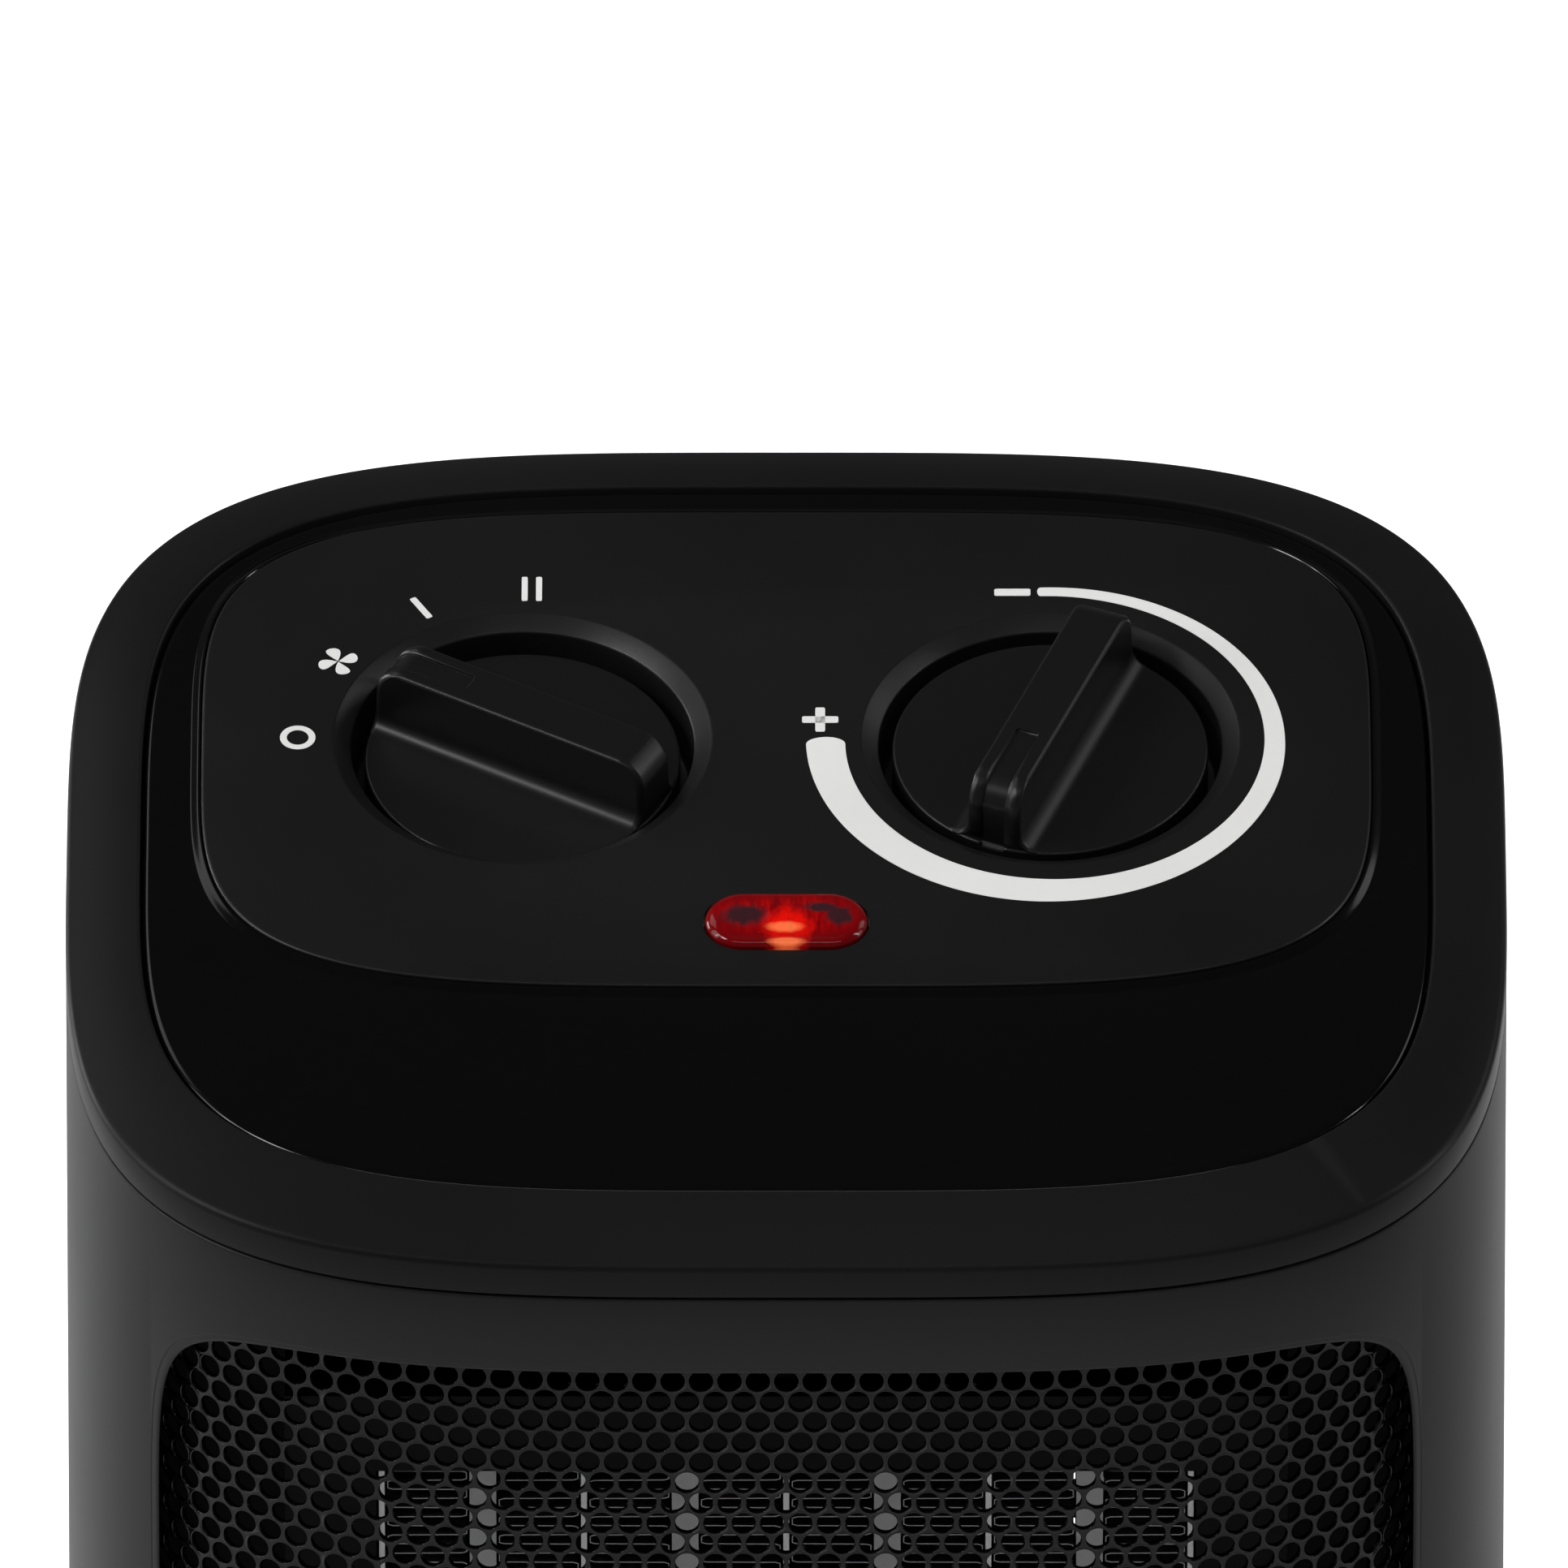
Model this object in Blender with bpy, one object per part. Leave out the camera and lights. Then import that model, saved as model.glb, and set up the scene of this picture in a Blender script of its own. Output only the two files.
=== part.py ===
"""Ceramic space heater, as separate pieces. Metres, +Z up, the front faces -Y.

The origin is on the floor, under the middle of the body. The body is a superellipse in plan with
a little draft. Its top slopes down to the front and carries the controls, which are drawn in a deck
frame on that slope, and the heating core, fan and motor stand behind the grille.
"""

import math

import bmesh
import bpy
from mathutils import Matrix, Vector

# Overall sizes
BODY_WIDTH = 0.1900
BODY_DEPTH = 0.1605
RIM_TOP = 0.2265
TOP_SLOPE_DEG = 7.7
FOOT_HEIGHT = 0.0040
BODY_POWER = 3.66
DRAFT = 0.0044

# Clearances
GAP = 0.0003
RUNNING_GAP = 0.0005
KNOB_GAP = 0.0008

# Shells
WALL = 0.0026
SPLIT_FROM_BACK = 0.0360
OUTLINE_POINTS = 60
SEAM_DROP = 0.0081

# Rim and insert
RIM_BAND_X = 0.0098
RIM_BAND_Y = 0.0113
RIM_POWER = 3.8
RIM_SLOPE_DROP = 0.0030
RIM_ROUND = 0.0008
RIM_UNDERCUT = 0.0024
INSERT_DROP = 0.0005
INSERT_SKIN = 0.0024
INSERT_FLANGE = 0.0024

# Control panel
PANEL_SIDE_STRIP = 0.0079
PANEL_FRONT_STRIP = 0.0396
PANEL_BACK_STRIP = 0.0055
PANEL_POWER = 4.0
PANEL_RISE = 0.0004
PANEL_THICKNESS = 0.0019
PANEL_CHAMFER = 0.0004

# Knobs and their wells
KNOB_SPACING = 0.0698
KNOB_BEHIND_PANEL_MIDDLE = 0.0018
KNOB_RADIUS = 0.0209
KNOB_SIDE_GAP = 0.0018
WELL_CONE_WIDTH = 0.0022
WELL_CONE_DEPTH = 0.0018
WELL_DEPTH = 0.0105
WELL_WALL = 0.0020
MODE_KNOB_DROP = 0.0036
THERMOSTAT_KNOB_DROP = 0.0019
KNOB_BAR_HEIGHT = 0.0100
KNOB_BAR_WIDTH = 0.0080
KNOB_BAR_FOOT_WIDTH = 0.0124
KNOB_BORE_DEPTH = 0.0075
POINTER_NOTCH_WIDTH = 0.0032
POINTER_NOTCH_DEPTH = 0.0004
POINTER_NOTCH_LENGTH = 0.0100
MODE_POINTER_DEG = 150.0
THERMOSTAT_POINTER_DEG = -112.0
SHAFT_RADIUS = 0.0030

# Switch and thermostat under the wells
CONTROL_BLOCK_SIDE = 0.0240
CONTROL_BLOCK_HEIGHT = 0.0160
CONTROL_BLOCK_GAP = 0.0010
SHAFT_ENGAGEMENT = 0.0060
THERMOSTAT_RADIUS = 0.0140
THERMOSTAT_HEIGHT = 0.0150
THERMOSTAT_EAR_REACH = 0.0160

# Pilot lamp
LAMP_LENGTH = 0.0214
LAMP_WIDTH = 0.0104
LAMP_FROM_PANEL_FRONT = 0.0124
LAMP_DOME_RISE = 0.0016
LAMP_SKIRT_DEPTH = 0.0060
NEON_RADIUS = 0.0030
NEON_LENGTH = 0.0140

# Window and grille
WINDOW_SIDE_MARGIN = 0.0125
WINDOW_BELOW_SEAM = 0.0121
WINDOW_BOTTOM = 0.0300
WINDOW_POWER = 7.5
GRILLE_THICKNESS = 0.0008
GRILLE_OVERLAP = 0.0055
GRILLE_WRAP_DEPTH = 0.0290
GRILLE_CLEARANCE = 0.0015

# Heating core
CORE_UNITS = 4
UNIT_PITCH = 0.0266
STRIP_WIDTH = 0.0008
BAR_WIDTH = 0.0035
CORE_HEIGHT = 0.1140
CORE_DEPTH = 0.0200
CORE_BEHIND_FRONT = 0.0160
FRAME_SIDE = 0.0120
FRAME_BEHIND_CORE = 0.0020
FRAME_BEFORE_CORE = 0.0015
TERMINAL_WIDTH = 0.0063
TERMINAL_HEIGHT = 0.0100
CUTOUT_RADIUS = 0.0080
CUTOUT_LENGTH = 0.0090

# Fan shroud and impeller
SHROUD_PLATE = 0.0024
SHROUD_DEPTH = 0.0300
SHROUD_WALL = 0.0024
IMPELLER_RADIUS = 0.0575
IMPELLER_TIP_GAP = 0.0025
HUB_RADIUS = 0.0150
HUB_LENGTH = 0.0180
HUB_AHEAD = 0.0050
BLADES = 5
BLADE_CHORD = 0.0300
BLADE_THICKNESS = 0.0016
BLADE_PITCH_DEG = 32.0

# Motor
MOTOR_SHAFT_RADIUS = 0.0015
MOTOR_MOUNT_HEIGHT = 0.0160
MOTOR_MOUNT_THICKNESS = 0.0020
STAND_OFF = 0.0060
CORE_STACK = 0.0180
STACK_HALF_WIDTH = 0.0280
STACK_TOP = 0.0200
STACK_BOTTOM = 0.0440
ROTOR_RADIUS = 0.0125
COIL_BAR_HEIGHT = 0.0110
COIL_HALF_WIDTH = 0.0165
COIL_BUILD = 0.0130
MOTOR_SCREW_INSET = 0.0050
SCREW_RADIUS = 0.0015
SCREW_HEAD_RADIUS = 0.0031
SCREW_HEAD_HEIGHT = 0.0020
REAR_SCREW_LENGTH = 0.0100

# Rear cover
GRIP_HALF_WIDTH = 0.0420
GRIP_BELOW_SEAM = 0.0120
GRIP_HEIGHT = 0.0300
GRIP_LIP = 0.0080
GRIP_DEPTH = 0.0280
POST_BESIDE_GRIP = 0.0140
POST_RADIUS = 0.0045
POST_BELOW_CONTROLS = 0.0040
POST_BOTTOM = 0.0300
BOSS_RADIUS = 0.0062
SCREW_RECESS = 0.0034
SLOT_HEIGHT = 0.0038
SLOT_PITCH = 0.0084
SLOT_MIDDLE_BAR = 0.0060
SLOT_HALF_WIDTH = 0.0430
SLOTS_ABOVE_POSTS = 0.0120
SLOTS_BELOW_GRIP = 0.0080
GLAND_X = 0.0500
GLAND_Z = 0.0170
GLAND_RADIUS = 0.0060
GLAND_BORE = 0.0034
GLAND_LENGTH = 0.0120
GLAND_TAPER = 0.0012

# Base
BASE_THICKNESS = 0.0024
FOOT_RADIUS = 0.0085
FOOT_INSET_X = 0.0280
FOOT_INSET_Y = 0.0260
PLUNGER_RADIUS = 0.0030
PLUNGER_Y = 0.0300
PLUNGER_HEIGHT = 0.0160
TIP_SWITCH_WIDTH = 0.0200
TIP_SWITCH_DEPTH = 0.0120
TIP_SWITCH_HEIGHT = 0.0240

FAR = 0.5



def outline_y(x, half_x, half_y):
    """How far from the middle the body's plan outline is, at a distance along the other axis."""
    return half_y * (1 - (x / half_x) ** BODY_POWER) ** (1 / BODY_POWER)


# Places worked out from the sizes above
HALF_X = BODY_WIDTH / 2
HALF_Y = BODY_DEPTH / 2
SLOPE = math.radians(TOP_SLOPE_DEG)
FRONT_SEAM_Z = RIM_TOP - SEAM_DROP - HALF_Y * math.tan(SLOPE)
REAR_SEAM_Z = RIM_TOP - SEAM_DROP + HALF_Y * math.tan(SLOPE)
SPLIT_Y = HALF_Y - SPLIT_FROM_BACK

# Places on the deck: its origin is at RIM_TOP over the middle, y runs up the slope and z is square to it
DECK_HALF_Y = HALF_Y / math.cos(SLOPE)
RIM_IN_X = HALF_X - RIM_BAND_X
RIM_IN_Y = DECK_HALF_Y - RIM_BAND_Y
PANEL_FRONT = -RIM_IN_Y + PANEL_FRONT_STRIP
PANEL_BACK = RIM_IN_Y - PANEL_BACK_STRIP
PANEL_Y = (PANEL_FRONT + PANEL_BACK) / 2
KNOB_Y = PANEL_Y + KNOB_BEHIND_PANEL_MIDDLE
WELL_RADIUS = KNOB_RADIUS + KNOB_SIDE_GAP
WELL_MOUTH_RADIUS = WELL_RADIUS + WELL_CONE_WIDTH
WELL_FLOOR = PANEL_RISE - WELL_DEPTH
CONTROL_TOP = WELL_FLOOR - WELL_WALL - CONTROL_BLOCK_GAP
LAMP_Y = PANEL_FRONT + LAMP_FROM_PANEL_FRONT

# Places in the body
WINDOW_TOP = FRONT_SEAM_Z - WINDOW_BELOW_SEAM
FAN_Z = (WINDOW_TOP + WINDOW_BOTTOM) / 2
CORE_HALF_X = CORE_UNITS * UNIT_PITCH / 2 + STRIP_WIDTH / 2
FRAME_HALF_X = CORE_HALF_X + GAP + FRAME_SIDE
GRILLE_INSET = WALL + GAP + GRILLE_THICKNESS
GRILLE_AT_FRAME = outline_y(FRAME_HALF_X, HALF_X - GRILLE_INSET, HALF_Y - GRILLE_INSET)
CORNER_LIMIT = -GRILLE_AT_FRAME + GRILLE_CLEARANCE + FRAME_BEFORE_CORE
CORE_FRONT = max(-HALF_Y + CORE_BEHIND_FRONT, CORNER_LIMIT)
CORE_BACK = CORE_FRONT + CORE_DEPTH
SHROUD_FRONT = CORE_BACK + FRAME_BEHIND_CORE + GAP
SHROUD_BACK = SHROUD_FRONT + SHROUD_PLATE + SHROUD_DEPTH
STACK_FRONT = SHROUD_BACK + GAP + MOTOR_MOUNT_THICKNESS + STAND_OFF + GAP
STACK_BACK = STACK_FRONT + CORE_STACK
POST_X = GRIP_HALF_WIDTH + POST_BESIDE_GRIP
GRIP_TOP = REAR_SEAM_Z - GRIP_BELOW_SEAM
GRIP_BOTTOM = GRIP_TOP - GRIP_HEIGHT
CONTROLS_LOW = RIM_TOP + CONTROL_TOP - CONTROL_BLOCK_HEIGHT
POST_TOP_Z = CONTROLS_LOW - POST_RADIUS - POST_BELOW_CONTROLS
SCREW_SEAT = outline_y(POST_X + SCREW_HEAD_RADIUS, HALF_X, HALF_Y) - SCREW_RECESS
BOSS_FRONT = SCREW_SEAT - SCREW_HEAD_HEIGHT * 2
BASE_BOTTOM = FOOT_HEIGHT


def clear_scene():
    for obj in list(bpy.data.objects):
        bpy.data.objects.remove(obj, do_unlink=True)


def material(name, color, roughness, metallic=0.0):
    made = bpy.data.materials.new(name)
    made.use_nodes = True
    shader = made.node_tree.nodes["Principled BSDF"]
    shader.inputs["Base Color"].default_value = (*color, 1.0)
    shader.inputs["Roughness"].default_value = roughness
    shader.inputs["Metallic"].default_value = metallic
    return made


def object_from(name, bm, finish=None, parent=None):
    """Link a bmesh as a named object, shaded smooth except at its sharp edges."""
    bmesh.ops.recalc_face_normals(bm, faces=bm.faces)
    mesh = bpy.data.meshes.new(name)
    bm.to_mesh(mesh)
    bm.free()
    mesh.shade_smooth()
    mesh.set_sharp_from_angle(angle=math.radians(32))
    obj = bpy.data.objects.new(name, mesh)
    bpy.context.scene.collection.objects.link(obj)
    if finish:
        mesh.materials.append(finish)
    obj.parent = parent
    return obj


def pivot(name, place, parent=None, tilt=0.0):
    """An empty that pieces are parented to, such as one on their joint's axis."""
    empty = bpy.data.objects.new(name, None)
    empty.location = place
    empty.rotation_euler.x = tilt
    empty.empty_display_size = 0.01
    empty.parent = parent
    bpy.context.scene.collection.objects.link(empty)
    return empty


def superellipse(half_x, half_y, power, z, centre_y=0.0, count=OUTLINE_POINTS):
    ring = []
    for index in range(count):
        turn = 2 * math.pi * (index + 0.5) / count
        c, s = math.cos(turn), math.sin(turn)
        x = half_x * math.copysign(abs(c) ** (2 / power), c)
        y = half_y * math.copysign(abs(s) ** (2 / power), s)
        ring.append(Vector((x, y + centre_y, z)))
    return ring


def circle(radius, z, x=0.0, y=0.0, count=32):
    turns = [2 * math.pi * (index + 0.5) / count for index in range(count)]
    return [Vector((x + radius * math.cos(t), y + radius * math.sin(t), z)) for t in turns]


def oblong(length, width, z, centre_y=0.0, count=24):
    """A slot outline with round ends, long along X."""
    radius = width / 2
    reach = length / 2 - radius
    ring = circle(radius, z, count=count)
    return [Vector((p.x + math.copysign(reach, p.x), p.y + centre_y, z)) for p in ring]


def loft(rings, closed=False):
    """Bridge rings of equal count: capped at both ends, or closed into a tube."""
    bm = bmesh.new()
    loops = [[bm.verts.new(point) for point in ring] for ring in rings]
    pairs = list(zip(loops, loops[1:]))
    if closed:
        pairs.append((loops[-1], loops[0]))
    else:
        bm.faces.new(loops[0])
        bm.faces.new(loops[-1])
    for first, second in pairs:
        count = len(first)
        for i in range(count):
            j = (i + 1) % count
            bm.faces.new((first[i], first[j], second[j], second[i]))
    return bm


def along_y(bm, place):
    """Turn a shape made along +Z to lie along +Y, and put it at its place."""
    turn = Matrix.Translation(place) @ Matrix.Rotation(math.radians(-90), 4, "X")
    bmesh.ops.transform(bm, matrix=turn, verts=bm.verts)
    return bm


def block(low, high):
    bm = bmesh.new()
    bmesh.ops.create_cube(bm, size=1.0)
    low, high = Vector(low), Vector(high)
    size = Matrix.Diagonal((*(high - low), 1.0))
    bmesh.ops.transform(bm, matrix=Matrix.Translation((low + high) / 2) @ size, verts=bm.verts)
    return bm


def rod(radius, low, high, x=0.0, y=0.0, count=32):
    return loft([circle(radius, low, x, y, count), circle(radius, high, x, y, count)])


def rod_y(radius, low, high, x, z, count=24):
    return along_y(rod(radius, 0.0, high - low, count=count), (x, low, z))


def merged(*shapes):
    """Several closed shapes in one bmesh, for a cutter."""
    whole = bmesh.new()
    for shape in shapes:
        mesh = bpy.data.meshes.new("merge")
        shape.to_mesh(mesh)
        shape.free()
        whole.from_mesh(mesh)
        bpy.data.meshes.remove(mesh)
    return whole


def boolean(obj, bm, operation, parent=None):
    tool = object_from(f"{obj.name}_{operation.lower()}_{len(obj.modifiers)}", bm, parent=parent)
    tool.hide_render = True
    tool.display_type = "WIRE"
    modifier = obj.modifiers.new(operation.title(), "BOOLEAN")
    modifier.operation = operation
    modifier.object = tool


def cut(obj, bm, parent=None):
    boolean(obj, bm, "DIFFERENCE", parent)


def add(obj, bm, parent=None):
    boolean(obj, bm, "UNION", parent)


def bevel(obj, width, segments=2, angle=35):
    modifier = obj.modifiers.new("Bevel", "BEVEL")
    modifier.width = width
    modifier.segments = segments
    modifier.limit_method = "ANGLE"
    modifier.angle_limit = math.radians(angle)


def body_growth(z):
    """How far the draft has moved the wall out, from the front seam down to a height."""
    return DRAFT * max(FRONT_SEAM_Z - z, 0.0)


def body_ring(inset, z):
    """The body's outline at a height, with its draft, moved in by an inset."""
    grown = body_growth(z) - inset
    return superellipse(HALF_X + grown, HALF_Y + grown, BODY_POWER, z)


def sloped(ring, drop):
    """A level ring moved up onto the top's slope, a drop below the rim's top."""
    return [Vector((p.x, p.y, RIM_TOP - drop + p.y * math.tan(SLOPE))) for p in ring]


def body_wall():
    drop = SEAM_DROP + GAP
    corner = FRONT_SEAM_Z - GAP
    rings = [
        body_ring(0.0, BASE_BOTTOM),
        sloped(body_ring(0.0, corner), drop),
        sloped(body_ring(WALL, corner), drop),
        body_ring(WALL, BASE_BOTTOM),
    ]
    return loft(rings, closed=True)


def side_inner_x(y, z):
    """Half the width inside the wall, at a depth and a height."""
    grown = body_growth(z) - WALL
    return outline_y(abs(y), HALF_Y + grown, HALF_X + grown)


def window_cutter():
    """The window's outline, drawn flat and run back through the front wall."""
    half_height = (WINDOW_TOP - WINDOW_BOTTOM) / 2
    half_width = HALF_X - WINDOW_SIDE_MARGIN
    rings = []
    for depth in (0.0, FAR):
        rings.append(superellipse(half_width, half_height, WINDOW_POWER, depth))
    middle = (WINDOW_TOP + WINDOW_BOTTOM) / 2
    return along_y(loft(rings), (0.0, -FAR - HALF_Y / 3, middle))


def make_shells(finish):
    shell = object_from("body_shell", body_wall(), finish["body"])
    cut(shell, block((-FAR, SPLIT_Y, -FAR), (FAR, FAR, FAR)))
    cut(shell, window_cutter())
    make_rear_cover(finish["body"])


def make_rear_cover(finish):
    cover = object_from("rear_cover", body_wall(), finish)
    cut(cover, block((-FAR, -FAR, -FAR), (FAR, SPLIT_Y + GAP, FAR)))
    pocket_front = HALF_Y - GRIP_DEPTH
    low_x = GRIP_HALF_WIDTH
    add(
        cover,
        block(
            (-low_x - WALL, pocket_front - WALL, GRIP_BOTTOM - WALL),
            (low_x + WALL, HALF_Y - WALL / 2, GRIP_TOP + WALL),
        ),
    )
    cut(
        cover,
        block((-low_x, pocket_front, GRIP_BOTTOM), (low_x, HALF_Y - WALL, GRIP_TOP)),
    )
    cut(cover, block((-low_x, pocket_front, GRIP_BOTTOM), (low_x, FAR, GRIP_TOP - GRIP_LIP)))
    bosses, seats, holes = [], [], []
    for x, z in post_places():
        bosses.append(rod_y(BOSS_RADIUS, BOSS_FRONT, SCREW_SEAT + WALL / 2, x, z))
        seats.append(rod_y(SCREW_HEAD_RADIUS + RUNNING_GAP, SCREW_SEAT, FAR, x, z))
        holes.append(rod_y(SCREW_RADIUS + GAP, BOSS_FRONT - WALL, SCREW_SEAT + WALL, x, z))
    for boss in bosses:
        add(cover, boss)
    cut(cover, merged(*seats))
    cut(cover, merged(*holes))
    cut(cover, slot_cutters())
    cut(cover, rod_y(GLAND_RADIUS + GAP, SPLIT_Y + WALL * 2, FAR, GLAND_X, GLAND_Z))


def slot_cutters():
    low = POST_BOTTOM + SLOTS_ABOVE_POSTS
    high = GRIP_BOTTOM - WALL - SLOTS_BELOW_GRIP
    rows = int((high - low - SLOT_HEIGHT) / SLOT_PITCH) + 1
    slots = []
    for row in range(rows):
        z = low + row * SLOT_PITCH
        for side in (-1, 1):
            ends = sorted((side * SLOT_MIDDLE_BAR / 2, side * SLOT_HALF_WIDTH))
            slots.append(block((ends[0], SPLIT_Y + WALL * 2, z), (ends[1], FAR, z + SLOT_HEIGHT)))
    return merged(*slots)


def post_places():
    return [(side * POST_X, z) for z in (POST_BOTTOM, POST_TOP_Z) for side in (-1, 1)]


def body_outline(inset, drop):
    """The body's outline on the slope, moved in by an inset."""
    return sloped(superellipse(HALF_X - inset, HALF_Y - inset, BODY_POWER, 0.0), drop)


def rim_outline(outset, drop):
    """The rim's inner outline on the slope, moved out by an outset."""
    half_y = (RIM_IN_Y + outset) * math.cos(SLOPE)
    return sloped(superellipse(RIM_IN_X + outset, half_y, RIM_POWER, 0.0), drop)


def make_rim(finish):
    """The sloping ring: top, slope, outer band and the undercut that the insert's flange fits."""
    under = SEAM_DROP - RIM_UNDERCUT
    step = WALL + GAP
    r = RIM_ROUND
    rings = [
        rim_outline(0.0, under),
        rim_outline(0.0, r / 2),
        rim_outline(r / 2, 0.0),
        body_outline(r, RIM_SLOPE_DROP),
        body_outline(0.0, RIM_SLOPE_DROP + r),
        body_outline(0.0, SEAM_DROP),
        body_outline(step, SEAM_DROP),
        body_outline(step, under),
    ]
    object_from("top_rim", loft(rings, closed=True), finish["satin"])


def make_insert(deck, finish):
    """The gloss deck inside the rim: a flange under it, the panel's pocket, and its holes."""
    flange_top = SEAM_DROP - RIM_UNDERCUT + GAP
    flange_low = flange_top + INSERT_FLANGE
    rings = [
        rim_outline(-GAP, INSERT_DROP),
        rim_outline(-GAP, flange_top),
        body_outline(WALL + 2 * GAP, flange_top),
        body_outline(WALL + 2 * GAP, flange_low),
        rim_outline(-GAP - WALL, flange_low),
        rim_outline(-GAP - WALL, INSERT_DROP + INSERT_SKIN),
    ]
    insert = object_from("top_insert", loft(rings), finish["gloss"])
    pocket_low = PANEL_RISE - PANEL_THICKNESS - GAP
    half_x, half_y = panel_half()
    pocket = [
        superellipse(half_x + GAP, half_y + GAP, PANEL_POWER, z, PANEL_Y)
        for z in (pocket_low, SEAM_DROP)
    ]
    cut(insert, loft(pocket), deck)
    for x in knob_places():
        radius = WELL_RADIUS + WELL_WALL + KNOB_GAP
        cut(insert, rod(radius, -2 * flange_low, flange_low, x, KNOB_Y, 36), deck)
    cut(insert, lamp_slot(KNOB_GAP), deck)


def lamp_slot(clearance):
    """A cutter for the lamp's hole, from under the deck to over it."""
    length, width = LAMP_LENGTH + 2 * clearance, LAMP_WIDTH + 2 * clearance
    return loft([oblong(length, width, z, LAMP_Y) for z in (-2 * SEAM_DROP, SEAM_DROP)])


def knob_places():
    return (-KNOB_SPACING / 2, KNOB_SPACING / 2)


def panel_half():
    """Half the panel's size along X and along the deck."""
    return RIM_IN_X - PANEL_SIDE_STRIP, (PANEL_BACK - PANEL_FRONT) / 2


def make_panel(deck, finish):
    """The satin panel: a low plate with two cups for the knobs and a slot for the lamp."""
    half_x, half_y = panel_half()
    top, low = PANEL_RISE, PANEL_RISE - PANEL_THICKNESS
    edge = PANEL_CHAMFER
    rings = [
        superellipse(half_x, half_y, PANEL_POWER, low, PANEL_Y),
        superellipse(half_x, half_y, PANEL_POWER, top - edge, PANEL_Y),
        superellipse(half_x - edge, half_y - edge, PANEL_POWER, top, PANEL_Y),
    ]
    panel = object_from("control_panel", loft(rings), finish["satin"], deck)
    cup_low = WELL_FLOOR - WELL_WALL
    for x in knob_places():
        cup = rod(WELL_RADIUS + WELL_WALL, cup_low, top - PANEL_THICKNESS / 2, x, KNOB_Y, 36)
        add(panel, cup, deck)
        reach = WELL_MOUTH_RADIUS + (WELL_MOUTH_RADIUS - WELL_RADIUS) / 2
        hollow = [
            circle(WELL_RADIUS, WELL_FLOOR, x, KNOB_Y, 36),
            circle(WELL_RADIUS, top - WELL_CONE_DEPTH, x, KNOB_Y, 36),
            circle(reach, top + WELL_CONE_DEPTH / 2, x, KNOB_Y, 36),
        ]
        cut(panel, loft(hollow), deck)
        bore = rod(SHAFT_RADIUS + KNOB_GAP, cup_low - WALL, WELL_FLOOR + WALL, x, KNOB_Y, 24)
        cut(panel, bore, deck)
    cut(panel, lamp_slot(GAP), deck)


def knob_bar(pointer_deg, height):
    """The grip across a knob: wide at the foot, narrow on top, round at both ends."""
    foot = oblong(2 * KNOB_RADIUS - 0.0004, KNOB_BAR_FOOT_WIDTH, 0.0)
    waist = oblong(2 * KNOB_RADIUS - 0.0016, KNOB_BAR_WIDTH + 0.0008, height * 0.18)
    crown = oblong(2 * KNOB_RADIUS - 0.0024, KNOB_BAR_WIDTH, height * 0.9)
    top = oblong(2 * KNOB_RADIUS - 0.0044, KNOB_BAR_WIDTH - 0.0020, height)
    bm = loft([foot, waist, crown, top])
    turn = Matrix.Rotation(math.radians(pointer_deg), 4, "Z")
    bmesh.ops.transform(bm, matrix=turn, verts=bm.verts)
    return bm


def make_knob(name, drop, pointer_deg, parent, finish):
    """A disc with a bar, a pointer notch, and a blind bore for the shaft. Z = 0 is the disc's face."""
    low = WELL_FLOOR + KNOB_GAP - (PANEL_RISE - drop)
    disc = loft(
        [
            circle(KNOB_RADIUS, low, count=36),
            circle(KNOB_RADIUS, -PANEL_CHAMFER, count=36),
            circle(KNOB_RADIUS - PANEL_CHAMFER, 0.0, count=36),
        ]
    )
    knob = object_from(name, disc, finish, parent)
    bar = knob_bar(pointer_deg, KNOB_BAR_HEIGHT)
    bmesh.ops.translate(bar, vec=(0, 0, -PANEL_CHAMFER), verts=bar.verts)
    add(knob, bar, parent)
    notch_low = KNOB_BAR_HEIGHT - 2 * POINTER_NOTCH_DEPTH
    notch = block(
        (KNOB_RADIUS - POINTER_NOTCH_LENGTH, -POINTER_NOTCH_WIDTH / 2, notch_low),
        (KNOB_RADIUS * 1.2, POINTER_NOTCH_WIDTH / 2, KNOB_BAR_HEIGHT * 1.2),
    )
    turn = Matrix.Rotation(math.radians(pointer_deg), 4, "Z")
    bmesh.ops.transform(notch, matrix=turn, verts=notch.verts)
    cut(knob, notch, parent)
    cut(knob, rod(SHAFT_RADIUS + GAP, low - WALL, low + KNOB_BORE_DEPTH, count=24), parent)


def make_shaft(name, drop, parent, finish):
    top = WELL_FLOOR + KNOB_GAP - (PANEL_RISE - drop) + KNOB_BORE_DEPTH - GAP
    low = CONTROL_TOP - SHAFT_ENGAGEMENT - (PANEL_RISE - drop)
    object_from(name, rod(SHAFT_RADIUS, low, top, count=24), finish, parent)


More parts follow.
